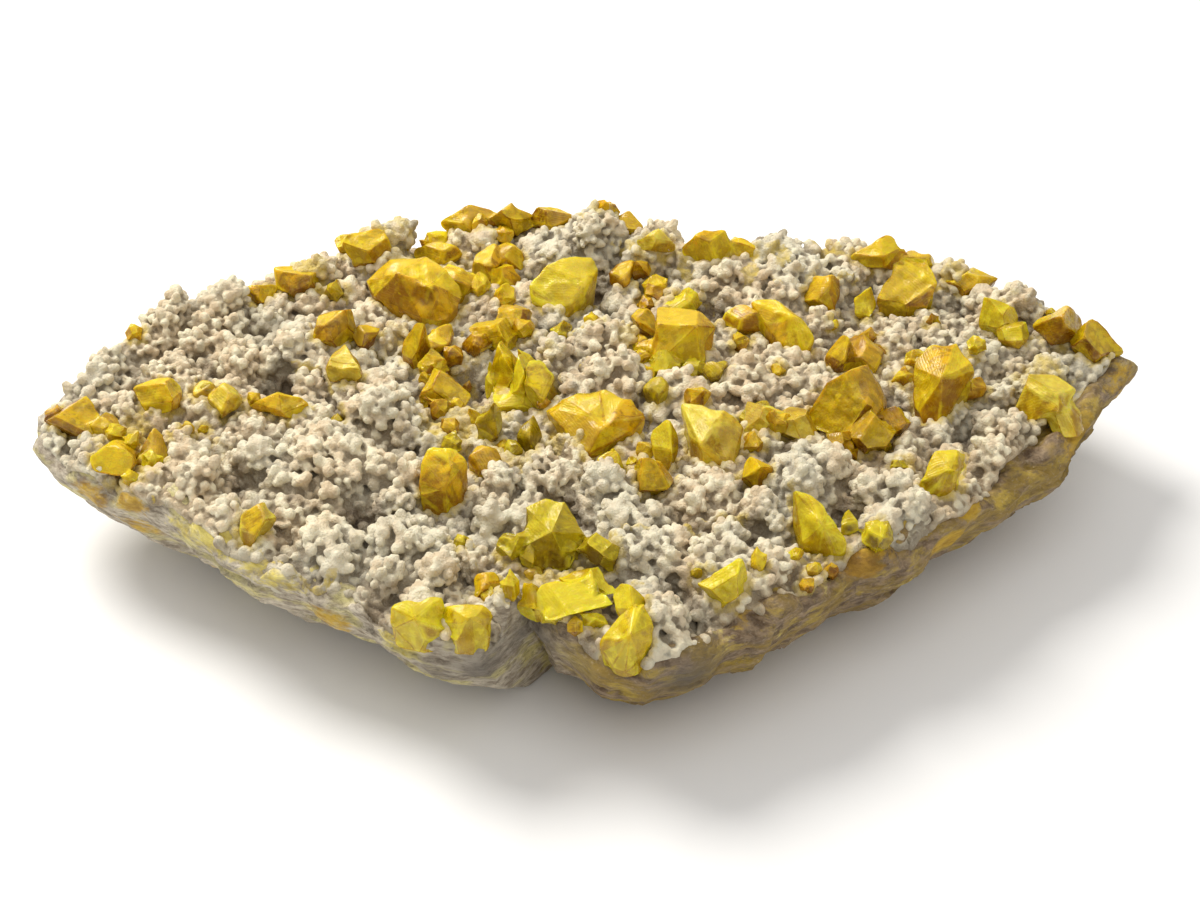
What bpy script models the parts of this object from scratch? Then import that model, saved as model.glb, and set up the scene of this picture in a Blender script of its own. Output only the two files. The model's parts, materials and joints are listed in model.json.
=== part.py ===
"""Native sulfur crystals on a slab of crusted limestone, a cabinet specimen about 28 cm across.

Metres, +Z up. The slab lies on a flat broken face at z = 0 with its crystal side up. X runs along
the slab's longest way and the origin is under the middle of its box. The slab and its nodular crust
are one solid. Each crystal, or each group of crystals grown together, is a solid of its own, and
sits in a socket of its own shape in the slab.
"""

import math
import random

import bmesh
import bpy
import numpy as np
from mathutils import Matrix, Vector, geometry, noise

MM = 0.001

# ---------------------------------------------------------------- slab
SLAB_TOP = 35.0 * MM  # mean height of the crusted face above the resting face
SLAB_OUTLINE = (  # the slab's edge seen from above in mm, from the west point round by the south
    (-140, -9), (-132, -19), (-120, -28), (-106, -35), (-97, -43), (-89, -51), (-79, -58),
    (-67, -63), (-58, -67), (-51, -73), (-45, -79), (-36, -83), (-27, -83), (-21, -77), (-16, -69),
    (-9, -78), (0, -86), (11, -90), (20, -87), (28, -80), (38, -76), (49, -67), (59, -58), (73, -50),
    (84, -39), (94, -30), (105, -21), (114, -14), (121, -3), (129, 12), (139, 26), (132, 32),
    (123, 41), (115, 50), (104, 57), (92, 66), (80, 72), (66, 74), (52, 71), (38, 71), (24, 73),
    (15, 81), (3, 87), (-12, 88), (-28, 86), (-43, 82), (-57, 78), (-70, 71), (-84, 66), (-98, 57),
    (-111, 47), (-118, 36), (-127, 27), (-135, 15), (-141, 4),
)
GRID = 2.6 * MM  # spacing of the points that the crusted face is made from
EDGE_WANDER = 1.3 * MM  # how far the broken edge wanders in and out
EDGE_ROUNDING = 7.0 * MM  # width of the band where the crust rolls over the edge
EDGE_DROP = 3.5 * MM  # how far it has dropped at the edge
REST_SHARE = (0.66, 0.68)  # the resting face's size beside the outline's, along X and Y
REST_MIDDLE = (4.0 * MM, -6.0 * MM)  # the point that the slab's sides draw in towards
SIDE_ROWS = 13  # rows of points down the broken side
SIDE_CURL = 1.7  # above 1, the side starts steep under the edge and curls under lower down
BED_THICKNESS = 5.5 * MM  # the side shows the rock's beds, each a ledge or a groove
BED_DEPTH = 1.8 * MM
SLAB_KEEP = 0.10  # share of the finely modelled triangles that the faceted slab keeps

# ---------------------------------------------------------------- relief of the crusted face
SWELL = 3.0 * MM  # slow rise and fall of the whole face
SWELL_LENGTH = 60.0 * MM
HEAP_SPACING = 12.0 * MM  # the crust's rounded heaps, between the knobs
HEAP_RADIUS = (4.5 * MM, 7.5 * MM)
HEAP_HEIGHT = (1.5 * MM, 4.5 * MM)
KNOBS = (  # heaps of crust that stand out, in mm: x, y, radius, height
    (-112, 38, 10, 9), (-117, 28, 7, 5), (-99, 42, 9, 4), (-58, 65, 9, 9), (-78, 26, 9, 5),
    (-90, 18, 8, 4), (-107, 14, 9, 5), (-127, 3, 7, 3), (-53, -2, 11, 8), (-66, -22, 14, 7),
    (-50, -28, 10, 6), (-98, -28, 10, 6), (-89, -42, 8, 6), (-78, -24, 8, 6), (-122, -20, 7, 4),
    (-62, -50, 10, 4), (-44, -55, 12, 5), (-25, -32, 6, 7), (-23, -43, 6, 6), (-12, -26, 8, 6),
    (2, -34, 8, 8), (10, -50, 11, 6), (24, -35, 9, 6), (38, -42, 8, 5), (50, -29, 10, 9),
    (68, -38, 10, 9), (30, -60, 14, 6), (13, -76, 7, 6), (17, -86, 8, 3), (-20, -73, 6, 7),
    (3, 10, 10, 8), (-12, 20, 8, 6), (1, 30, 9, 6), (-2, 74, 10, 11), (14, 70, 9, 10),
    (-14, 68, 9, 7), (36, 56, 11, 7), (50, 59, 10, 8), (46, 46, 9, 5), (65, 61, 8, 7),
    (104, 45, 9, 6), (96, 24, 9, 5), (98, -10, 8, 6), (108, -9, 7, 4), (76, 28, 8, 4),
    (38, 10, 8, 4), (24, 4, 8, 4), (-30, 46, 8, 5), (-88, 6, 7, 3), (52, 12, 8, 4),
    (-34, 74, 9, 6), (112, 14, 8, 4), (-84, 58, 9, 5), (-72, 64, 8, 5), (76, 66, 10, 5),
    (90, 58, 9, 5), (58, 67, 9, 6), (22, 68, 8, 5), (-127, 14, 9, 4), (-136, 1, 6, 3),
    (120, 34, 8, 4), (-104, 30, 9, 4),
)
PITS = (  # dark holes and clefts between the heaps, in mm: x, y, radius, depth
    (-81, 12, 8, 8), (-56, -40, 8, 7), (26, 42, 8, 9), (-8, 13, 6, 7), (91, -8, 6, 7),
    (74, 5, 7, 6), (-14, -15, 6, 5), (-48, -68, 6, 4), (35, -46, 5, 5), (-9, -38, 7, 6),
    (-2, 56, 7, 7), (-15, -79, 6, 9), (60, -40, 6, 7), (18, -68, 7, 5), (-34, 11, 8, 5),
)

# ---------------------------------------------------------------- crystals
AXES = (0.8131, 1.0, 1.9034)  # sulfur's orthorhombic axes a : b : c
SEAT = 4.5 * MM  # how deep a crystal's flat foot stands in the crust
SOCKET_GAP = 0.35 * MM  # clear space round a crystal in its socket
CORNER_MERGE = 0.25 * MM  # corners nearer than this are one
# Each habit: how far out four kinds of face stand, beside a shape that just holds the crystal. They
# are the steep {111}, the blunt {113}, the dome {011} and the flat end {001}.
HABITS = {
    "pointed": (0.84, 1.06, 1.00, 1.30),
    "stout": (0.86, 0.96, 1.02, 0.90),
    "block": (0.94, 1.10, 0.84, 0.78),
    "ridge": (0.86, 1.00, 0.76, 1.10),
}
UNEVEN = (0.82, 1.00)  # no two faces of a crystal grew alike
OUTGROWN = 0.42  # share of the faces that others have grown past
OUTGROWN_REACH = 1.35
SMALLEST_FACE = 0.035  # of a crystal's surface
COLOURS = {  # base colour and roughness
    "lemon": ((0.86, 0.72, 0.10), 0.30),
    "pale": ((0.84, 0.74, 0.34), 0.38),
    "gold": ((0.80, 0.50, 0.05), 0.26),
    "amber": ((0.62, 0.33, 0.07), 0.28),
    "olive": ((0.46, 0.38, 0.12), 0.32),
}
# The large crystals whose outline matters are given by their corners, in mm from the middle of the
# crystal. Their sides carry on straight down to the foot, drawn in by FOOT_SHARE.
SHAPES = {
    "rhomb": (
        (-13, 6, 0), (-7.5, 5, 3), (0.5, 6.5, 6), (8, 4, 5), (12.5, 0, 1), (9, -3, -1),
        (-2.5, -9.5, -4), (-8, -0.5, -3), (2, -5, 3)),
    "great": (
        (-14, 4, 0), (-7.3, 6.6, 5), (2.4, 5, 7), (7.8, 0.3, 6), (11.6, -2.6, 2), (13, -4.7, 0),
        (7.3, -10.3, -3), (1.5, -8.8, -3), (-11.2, -0.5, -2), (-4.8, -2.6, 7), (3.4, -6.7, 6.5)),
    "cube": (
        (-6.2, 6, 6), (4.3, 4.3, 6), (-6.5, -2.6, 6.5), (3.5, -3.4, 6.5), (8.6, 1, 3),
        (6.6, -4, -1), (5.2, -7.2, -4), (-7.6, -7.2, -4), (-7.6, 0, 0)),
    "column": (
        (-3.7, 2.9, 8), (0.5, 3.2, 8), (3.9, 2.2, 7), (6.1, 0.7, 5), (5.4, -0.1, 2), (3.4, -2, -1),
        (3.2, -4.3, -6), (0.5, -5.3, -7), (-3.9, -3.7, -4), (-5.6, -3.8, -2), (-6.1, -2.1, 1),
        (-5.1, -0.1, 5), (2.2, -1.5, 6), (0.5, -5.3, 1)),
    "two_tone": (
        (-7.4, 6.9, 6), (3.6, 2.7, 7), (7.6, 0.7, 4), (7.2, -2.3, -1), (4.5, -8.2, -5),
        (-2.2, -6.8, -5), (-3.6, -4.7, -2), (-5.4, -1.3, 1), (0, -2.5, 6.5), (-3, -6.1, 2.5)),
    "dome": (
        (-7.1, 3.3, 4), (-3.3, 6, 8), (3.3, 6.2, 9), (7.1, 0.8, 6), (8, 0.2, 4), (5.7, -2.3, 0),
        (0.5, -7.9, -4), (-1.4, -10, -6), (-6.6, -6.9, -6), (-7.6, -1, -1), (-1, -6, 6)),
    "trapezoid": (
        (-7.6, -4.9, -1), (-4.3, 1.4, 5), (0, 2.6, 7), (5.2, 1.8, 7), (7.6, -3.8, 3),
        (5.2, -7.5, -2), (0, -7.5, -2), (-7.6, -4.6, -3)),
    "tilted": (
        (-8, 4.3, 5), (-1.9, 3.7, 6), (2.4, -3.8, 6), (8, -6.6, 1), (5.7, -8.5, -3),
        (-0.5, -5.9, -2), (-4.8, -1.7, 2), (6, -2.2, 3)),
    "leaf": (
        (-6.6, 4.9, 8), (-3.9, 4.5, 8), (2, -0.1, 5), (4.4, -2.2, 3), (6.9, -5, -1), (5.9, -5.3, -4),
        (3.7, -5.6, -5), (-1, -4.8, -5), (-4.4, -3.3, -3), (-4.7, 0.3, 1), (0, -5.1, 4)),
    "curved": (
        (1.9, 4.4, 7), (3.8, 3.4, 6.5), (5.8, 0, 3), (5.5, -2.3, 0), (2.9, -5, -4), (-0.5, -6, -6),
        (-3.4, -4.7, -5.5), (-5.8, -2.3, -3), (-6.2, -1, -1), (-3.4, -1, 2), (0.5, -5.8, 4.5)),
    "prism": (
        (-5.9, -3.9, 0), (-2, 1.1, 6), (3.9, 1.9, 6), (6.6, 2.5, 3), (5.6, 0, 0), (2.7, -2.6, -1),
        (1.7, -3.6, -4), (-1.7, -4.8, -5), (-4.2, -4.5, -4), (2, -4.8, 5)),
    "lemon": (
        (-9.2, -1.7, 2), (-5.8, 1.6, 5), (1, 3.7, 7), (7.8, 3.7, 7), (9.2, 0.9, 6), (5.3, -3, 3),
        (4.9, -5.5, 0), (1, -7.7, -2), (0, -9.3, -5), (-3.9, -6, -2), (-9.2, -4.2, -1)),
    "rim_block": (
        (-7, 1.2, 3), (-1.9, 1.6, 5), (4.9, 2.2, 5), (7, 1.7, 2), (7, -1.7, -2), (1.6, -3.3, -4),
        (-2.4, -1.8, -3), (-6.6, -0.9, -2), (-1, -3, 3)),
    "pentagon": (
        (-4.7, 1.7, 4), (3.3, 1.7, 4), (5.4, 0.5, 2), (4.7, -1, -1), (0.9, -2.5, -4), (-2.8, -3, -3),
        (-5.6, 0, 0), (1, -3, 3)),
    "olive": (
        (-8.1, -3.8, -2), (-6.9, -0.5, 1), (-4.9, 2.7, 6), (-0.5, 4.5, 7), (3.9, 3.7, 7),
        (8.8, -0.5, 1), (6.9, -3.3, -3), (4.9, -5.6, -5), (-0.5, -6.6, -6), (-3.9, -6.3, -5),
        (1, -4.8, 5)),
}
FOOT_SHARE = 0.8
# Each solid: its colour, then its crystals. Each crystal, in mm: x, y, rise of its middle over the
# crust, width, depth and height of the box that it fills, habit, then in degrees the lean of its
# long axis from upright, the way it leans (0 is +X, 90 is +Y) and its turn about that axis. A crystal
# given by its corners has only x, y, rise and the name of its shape.
SULFUR = {
    "sulfur_west_tip": ("amber", (
        (-129, -5, 2, 10, 9, 9, "stout", 60, 200, 20),
        (-122, -7, 1, 8, 8, 7, "block", 70, 310, 0),
        (-134.5, -3, 1, 6, 7, 6, "stout", 50, 120, 40))),
    "sulfur_west_block": ("gold", ((-109, 2, 2.5, 11, 9, 9, "block", 25, 120, 35),)),
    "sulfur_west_mass": ("gold", (
        (-117, -21, 1, 14, 9, 8, "stout", 80, 10, 20),
        (-109, -18, 0.5, 8, 7, 6, "ridge", 70, 40, 0))),
    "sulfur_west_pale": ("pale", (
        (-93, 1, 2, 10, 9, 8, "stout", 35, 20, 10),
        (-98.5, 5, 0, 7, 6, 6, "block", 60, 80, 30))),
    "sulfur_west_slab": ("gold", ((-79, 0, 1.5, 12, 7, 7, "ridge", 85, 5, 10),)),
    "sulfur_west_lip": ("pale", ((-80, -46, 2, 9, 7, 9, "pointed", 30, 60, 15),)),
    "sulfur_northwest_flat": ("amber", (
        (-80, 54, 1, 15, 11, 9, "block", 75, 350, 10),
        (-90, 50, 0.5, 8, 6, 6, "ridge", 70, 180, 0))),
    "sulfur_north_steps": ("gold", (
        (-61, 63, 3, 14, 9, 9, "block", 70, 15, 5),
        (-67, 68, 2, 9, 7, 7, "stout", 40, 100, 40))),
    "sulfur_great_gold": ("gold", (
        (-48, 47, 5, "great"),
        (-39, 51, 4, 13, 9, 10, "stout", 40, 60, 10))),
    "sulfur_north_amber": ("amber", ((-44, 67, 3, 12, 7, 8, "ridge", 80, 175, 15),)),
    "sulfur_north_rim": ("amber", (
        (-36, 77, 3, 14, 8, 9, "ridge", 80, 0, 0),
        (-25, 79, 3, 13, 8, 9, "block", 75, 10, 20),
        (-13, 80, 2, 13, 8, 9, "ridge", 80, 350, 10))),
    "sulfur_north_trio": ("gold", (
        (-30, 62, 3, 8, 8, 8, "block", 20, 200, 20),
        (-25, 58, 3, 7, 7, 7, "stout", 35, 250, 0),
        (-24.5, 64.5, 3, 9, 8, 8, "stout", 50, 30, 60))),
    "sulfur_north_lemon": ("lemon", (
        (-9.5, 51, 5, "lemon"),)),
    "sulfur_inner_trio": ("amber", (
        (-22, 36.5, 3, 9, 7, 7, "stout", 50, 210, 10),
        (-27, 29, 3, 12, 10, 10, "stout", 30, 120, 25),
        (-31.5, 24, 2, 7, 6, 6, "block", 60, 200, 0))),
    "sulfur_blades": ("lemon", (
        (-24, 14, 4, 7, 10, 14, "ridge", 28, 110, 80),
        (-19.5, 9.5, 4, 6, 10, 15, "ridge", 28, 110, 80),
        (-15, 5, 3, 6, 9, 12, "ridge", 28, 110, 80),
        (-19.5, 9.5, -0.5, 18, 14, 8, "block", 15, 135, 45))),
    "sulfur_tooth": ("gold", (
        (-47.5, 21, 4, 7, 7, 12, "pointed", 12, 140, 10),
        (-42, 26, 3, 9, 8, 8, "stout", 50, 40, 20))),
    "sulfur_round_amber": ("amber", ((-40, 8, 3, 11, 10, 10, "stout", 40, 300, 20),)),
    "sulfur_orange_pair": ("amber", (
        (-68, 29, 3, 12, 10, 10, "block", 30, 190, 30),
        (-60.5, 29, 2, 7, 7, 7, "stout", 60, 20, 0))),
    "sulfur_cream": ("pale", ((-64, 13, 3, 9, 9, 9, "stout", 30, 80, 40),)),
    "sulfur_golden_column": ("gold", (
        (-37, -32, 5, "column"),)),
    "sulfur_half_hidden": ("amber", ((-27, -20, 2, 10, 7, 8, "stout", 45, 330, 10),)),
    "sulfur_upright_olive": ("olive", ((-27, -9, 3, 7, 7, 10, "pointed", 10, 0, 30),)),
    "sulfur_olive_wedge": ("olive", ((-17, -11, 3, 6.5, 6, 10, "pointed", 18, 80, 10),)),
    "sulfur_olive_mass": ("olive", (
        (-12, -53, 4, "olive"),
        (-20, -55, 1.5, 7, 7, 7, "block", 50, 230, 0),
        (0, -56, 3, 9, 9, 9, "block", 45, 40, 30))),
    "sulfur_small_orange": ("amber", ((-26, -65, 2, 6.5, 6, 6, "stout", 45, 100, 0),)),
    "sulfur_south_pair": ("lemon", (
        (-40, -79, 3, "rim_block"),
        (-29, -81, 3, "pentagon"))),
    "sulfur_mottled_mass": ("lemon", (
        (-9, -73, 3, 14, 12, 11, "stout", 70, 30, 10),
        (-3.5, -68, 3, 9, 9, 9, "block", 40, 110, 0),
        (-15.5, -72, 2, 6, 6, 9, "pointed", 15, 180, 20))),
    "sulfur_northeast_dust": ("amber", (
        (1.5, 81, 2, 8, 6, 8, "stout", 40, 90, 0),
        (6.5, 80, 1.5, 9, 7, 7, "block", 60, 30, 20))),
    "sulfur_pale_slab": ("pale", ((15, 64, 2, 8.5, 6, 7, "ridge", 70, 170, 0),)),
    "sulfur_rim_gold": ("gold", (
        (29.5, 64, 3, 13, 8, 9, "block", 70, 10, 0),
        (37, 65, 2.5, 7, 6, 6, "stout", 60, 340, 20))),
    "sulfur_small_amber": ("amber", ((6, 57, 3, 8, 7, 8, "stout", 30, 40, 20),)),
    "sulfur_lemon_knob": ("lemon", ((22, 46, 3, 8, 8, 8, "block", 40, 150, 10),)),
    "sulfur_neat_prism": ("amber", ((11, 35, 2, 6.5, 6.5, 7, "pointed", 60, 150, 0),)),
    "sulfur_big_block": ("gold", (
        (21, 25, 4, "cube"),
        (13, 24, 2, 6.5, 6, 6, "ridge", 70, 170, 0))),
    "sulfur_tilted_pair": ("gold", (
        (47, 32, 4, "tilted"),
        (37, 34, 2, 11, 7, 7, "ridge", 80, 165, 0))),
    "sulfur_east_pair": ("amber", (
        (61, 19, 3, 8, 8, 9, "pointed", 20, 30, 0),
        (67.5, 21.5, 3, 11, 9, 9, "stout", 45, 300, 20))),
    "sulfur_gold_knob": ("gold", ((59, 49, 3, 10, 9, 8, "block", 50, 200, 20),)),
    "sulfur_rim_bar": ("gold", (
        (75, 62, 3, 15, 8, 10, "ridge", 80, 5, 0),
        (86, 63, 2, 11, 7, 7, "block", 70, 350, 20))),
    "sulfur_lemon_spear": ("lemon", ((70, 46, 3, 6, 6, 10, "pointed", 12, 60, 20),)),
    "sulfur_trapezoid": ("amber", ((81, 52, 4.5, "trapezoid"),)),
    "sulfur_dusty_dome": ("amber", ((99, 54, 2, 13, 7, 8, "stout", 75, 340, 0),)),
    "sulfur_green_bead": ("olive", ((14, 3, 2, 6.5, 6.5, 8, "stout", 20, 90, 0),)),
    "sulfur_dark_olive": ("olive", ((29, 12, 2, 7.5, 7, 6, "stout", 60, 30, 0),)),
    "sulfur_central_rhomb": ("gold", ((-1, -8, 4, "rhomb"),)),
    "sulfur_lemon_chip": ("lemon", ((3, -21, 1.5, 8, 6, 6, "block", 70, 0, 0),)),
    "sulfur_bright_tooth": ("lemon", ((16, -19, 3, 7, 8, 10, "pointed", 25, 80, 20),)),
    "sulfur_dark_triangle": ("amber", ((12, -31, 3, 9, 8, 9, "pointed", 20, 250, 50),)),
    "sulfur_two_tone": ("pale", (
        (27, -16, 4, "two_tone"),)),
    "sulfur_orange_round": ("amber", ((37, -28, 3, 8, 8, 9, "stout", 35, 300, 30),)),
    "sulfur_pale_row": ("pale", (
        (40, -8, 2, 10, 9, 8, "block", 50, 190, 0),
        (47.5, -8, 2, 10, 8, 8, "stout", 60, 350, 20))),
    "sulfur_massive": ("amber", (
        (63, -3, 5, 17, 15, 15, "stout", 40, 60, 20),
        (66, -12, 3, 12, 10, 10, "block", 60, 280, 10),
        (72, -7, 3, 8, 8, 8, "stout", 50, 10, 0),
        (58.5, -14, 2, 8, 7, 8, "stout", 45, 230, 40))),
    "sulfur_leaf": ("lemon", ((51, -48, 4, "leaf"),)),
    "sulfur_south_lemon": ("lemon", ((28, -70, 2, 9, 8, 9, "block", 40, 210, 10),)),
    "sulfur_curved_tooth": ("lemon", (
        (6, -84, 4, "curved"),
        (7, -77, 3, 7, 7, 8, "stout", 30, 100, 10))),
    "sulfur_east_beads": ("lemon", (
        (104, 36, 3, 10, 9, 10, "stout", 20, 150, 10),
        (106.5, 31, 2, 9, 8, 7, "block", 60, 340, 0))),
    "sulfur_east_tip": ("amber", (
        (119, 31, 2.5, 13, 9, 9, "stout", 65, 330, 10),
        (126, 26, 2, 12, 10, 9, "block", 50, 320, 30))),
    "sulfur_east_dome": ("gold", (
        (85.5, 7, 5, "dome"),
        (94, 10, 2, 7, 7, 7, "stout", 50, 0, 0))),
    "sulfur_east_pale": ("pale", (
        (111, 3, 3, 16, 13, 12, "stout", 60, 40, 10),
        (115.5, -3, 2, 9, 8, 8, "block", 50, 330, 0))),
    "sulfur_southeast_prism": ("lemon", ((81.5, -28, 4, "prism"),)),
}


def remove_everything():
    for obj in list(bpy.data.objects):
        bpy.data.objects.remove(obj, do_unlink=True)


def object_of(name, points, faces):
    """A mesh object from points in metres and faces, with its normals out."""
    mesh = bpy.data.meshes.new(name)
    mesh.from_pydata([tuple(p) for p in points], [], [tuple(f) for f in faces])
    mesh.update()
    made = bpy.data.objects.new(name, mesh)
    bpy.context.scene.collection.objects.link(made)
    return made


def evaluated_copy(obj):
    """The object's mesh with its modifiers worked out, as a bmesh."""
    bpy.context.view_layer.update()
    graph = bpy.context.evaluated_depsgraph_get()
    bm = bmesh.new()
    bm.from_mesh(obj.evaluated_get(graph).to_mesh())
    return bm


# ---------------------------------------------------------------- slab shape
def seeded_heaps():
    """Rounded heaps of crust all over the face, on a jittered grid."""
    rng = random.Random(11)
    heaps = []
    for row in range(-8, 9):
        for column in range(-12, 13):
            x = (column + 0.5 * (row % 2)) * HEAP_SPACING + rng.uniform(-3.5, 3.5) * MM
            y = row * 0.87 * HEAP_SPACING + rng.uniform(-3.5, 3.5) * MM
            heaps.append((x, y, rng.uniform(*HEAP_RADIUS), rng.uniform(*HEAP_HEIGHT)))
    return np.array(heaps)


HEAPS = seeded_heaps()
KNOB_ROWS = np.array(KNOBS) * MM
PIT_ROWS = np.array(PITS) * MM


def dome(rows, x, y):
    """Height of each dome of the rows at a point, 0 outside it."""
    near = 1.0 - ((x - rows[:, 0]) ** 2 + (y - rows[:, 1]) ** 2) / rows[:, 2] ** 2
    return rows[:, 3] * np.sqrt(np.clip(near, 0.0, 1.0))


def crust_height(x, y):
    """Height of the crusted face above the resting face, away from the slab's edge."""
    swell = SWELL * noise.noise(Vector((x, y, 0.0)) / SWELL_LENGTH)
    heap = dome(HEAPS, x, y).max()
    knob = dome(KNOB_ROWS, x, y).max()
    pit = (dome(PIT_ROWS, x, y) ** 2 / PIT_ROWS[:, 3]).max()
    return SLAB_TOP + swell + max(heap, knob) + 0.4 * min(heap, knob) - pit


def edge_loop():
    """The slab's edge as closely spaced points that wander in and out a little."""
    corners = [Vector((x, y)) * MM for x, y in SLAB_OUTLINE]
    loop = []
    for start, end in zip(corners, corners[1:] + corners[:1]):
        steps = max(1, round((end - start).length / GRID))
        along = end - start
        outward = Vector((along.y, -along.x)).normalized()
        for step in range(steps):
            point = start + along * (step / steps)
            wander = noise.noise(Vector((point.x, point.y, 0.01)) / (7 * MM))
            loop.append(point + outward * EDGE_WANDER * wander)
    return loop


def distance_to_loop(point, loop):
    ends = np.array([tuple(p) for p in loop])
    start = ends
    along = np.roll(ends, -1, axis=0) - start
    share = ((np.array(point) - start) * along).sum(1) / (along**2).sum(1)
    foot = start + np.clip(share, 0, 1)[:, None] * along
    return float(np.sqrt(((np.array(point) - foot) ** 2).sum(1)).min())


def top_height(x, y, from_edge):
    rolled = max(0.0, 1.0 - from_edge / EDGE_ROUNDING)
    return crust_height(x, y) - EDGE_DROP * rolled**2


def side_point(point, top, share, turn):
    """A point of the broken side, this share of the way down from the edge to the resting face."""
    height = top * (1.0 - share)
    drawn_in = share**SIDE_CURL
    foot_x = REST_MIDDLE[0] + REST_SHARE[0] * (point.x - REST_MIDDLE[0])
    foot_y = REST_MIDDLE[1] + REST_SHARE[1] * (point.y - REST_MIDDLE[1])
    x = point.x + (foot_x - point.x) * drawn_in
    y = point.y + (foot_y - point.y) * drawn_in
    outward = Vector((point.x - REST_MIDDLE[0], point.y - REST_MIDDLE[1])).normalized()
    bed = math.floor((height + 2 * MM * noise.noise(Vector((x, y, 0)) / (35 * MM))) / BED_THICKNESS)
    ledge = noise.noise(Vector((bed * 7.3, turn * 5.0, 0.5)))
    rough = noise.noise(Vector((x, y, height)) / (9 * MM))
    out = BED_DEPTH * (1.2 * ledge + 0.7 * rough) * math.sin(math.pi * share) ** 0.5
    return (x + outward.x * out, y + outward.y * out, height)


LOOP = edge_loop()


def slab_mesh():
    """Points and faces of the whole slab before any socket is cut."""
    loop = LOOP
    inner = []
    rng = random.Random(5)
    for row in range(-40, 41):
        for column in range(-60, 61):
            x = (column + 0.5 * (row % 2) + rng.uniform(-0.2, 0.2)) * GRID
            y = (row * 0.87 + rng.uniform(-0.2, 0.2)) * GRID
            if abs(x) < 0.15 and distance_to_loop((x, y), loop) > 0.7 * GRID:
                inner.append(Vector((x, y)))
    ring = [(i, (i + 1) % len(loop)) for i in range(len(loop))]
    flat, _, faces, _, _, _ = geometry.delaunay_2d_cdt(loop + inner, ring, [], 1, 1e-7)
    points = []
    for spot in flat:
        from_edge = distance_to_loop(spot, loop)
        points.append((spot.x, spot.y, top_height(spot.x, spot.y, from_edge)))
    above = list(range(len(loop)))
    for row in range(1, SIDE_ROWS + 1):
        share = row / SIDE_ROWS
        below = []
        for i, point in enumerate(loop):
            turn = math.atan2(point.y, point.x)
            below.append(len(points))
            points.append(side_point(point, points[i][2], share, turn))
        for i, j in ring:
            faces.append((above[j], above[i], below[i], below[j]))
        above = below
    faces.append(list(reversed(above)))
    return points, faces


def slab_object():
    made = object_of("matrix_raw", *slab_mesh())
    bm = bmesh.new()
    bm.from_mesh(made.data)
    bmesh.ops.triangulate(bm, faces=bm.faces)
    bmesh.ops.recalc_face_normals(bm, faces=bm.faces)
    bm.to_mesh(made.data)
    bm.free()
    fewer = made.modifiers.new("fewer_facets", "DECIMATE")
    fewer.ratio = SLAB_KEEP
    bm = evaluated_copy(made)
    for vert in bm.verts:
        if vert.co.z < 0.9 * MM:
            vert.co.z = 0.0
    mesh = bpy.data.meshes.new("matrix")
    bm.to_mesh(mesh)
    bm.free()
    bpy.data.objects.remove(made, do_unlink=True)
    slab = bpy.data.objects.new("matrix", mesh)
    bpy.context.scene.collection.objects.link(slab)
    return slab


# ---------------------------------------------------------------- crystal shape
def face_normals():
    """Each of sulfur's faces as a unit normal and its kind: 0 {111}, 1 {113}, 2 {011}, 3 {001}."""
    a, b, c = AXES
    rows = []
    for up in (-1, 1):
        for east in (-1, 1):
            for north in (-1, 1):
                rows.append(((east / a, north / b, up / c), 0))
                rows.append(((east / a, north / b, 3 * up / c), 1))
            rows.append(((0.0, east / b, up / c), 2))
        rows.append(((0.0, 0.0, float(up)), 3))
    normals = np.array([row[0] for row in rows])
    return normals / np.linalg.norm(normals, axis=1)[:, None], [row[1] for row in rows]


def corners_of(normals, distances):
    """The corners of the solid that these planes leave."""
    count = len(normals)
    found = []
    for i in range(count):
        for j in range(i + 1, count):
            rest = np.arange(j + 1, count)
            if len(rest) == 0:
                continue
            first = np.repeat(normals[[i]], len(rest), axis=0)
            second = np.repeat(normals[[j]], len(rest), axis=0)
            planes = np.stack([first, second, normals[rest]], axis=1)
            sized = np.stack(
                [np.full(len(rest), distances[i]), np.full(len(rest), distances[j]), distances[rest]], axis=1
            )
            solvable = np.abs(np.linalg.det(planes)) > 1e-4
            if solvable.any():
                found.append(np.linalg.solve(planes[solvable], sized[solvable][:, :, None])[:, :, 0])
    found = np.concatenate(found)
    inside = (found @ normals.T <= distances + 1e-9).all(axis=1)
    kept = []
    for corner in found[inside]:
        if all(np.linalg.norm(corner - other) > CORNER_MERGE for other in kept):
            kept.append(corner)
    return kept


def large_faces(normals, distances):
    """Which planes carry a face large enough to keep. The crystal's smallest faces are left out."""
    corners = np.array(corners_of(normals, distances))
    areas = []
    for normal, distance in zip(normals, distances):
        face = corners[np.abs(corners @ normal - distance) < 1e-6]
        if len(face) < 3:
            areas.append(0.0)
            continue
        across = np.cross(normal, (0.31, 0.52, 0.79))
        across /= np.linalg.norm(across)
        spread = face - face.mean(axis=0)
        flat = np.stack([spread @ across, spread @ np.cross(normal, across)], axis=1)
        flat = flat[np.argsort(np.arctan2(flat[:, 1], flat[:, 0]))]
        after = np.roll(flat, -1, axis=0)
        areas.append(0.5 * abs((flat[:, 0] * after[:, 1] - flat[:, 1] * after[:, 0]).sum()))
    return np.array(areas) > SMALLEST_FACE * sum(areas)


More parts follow.
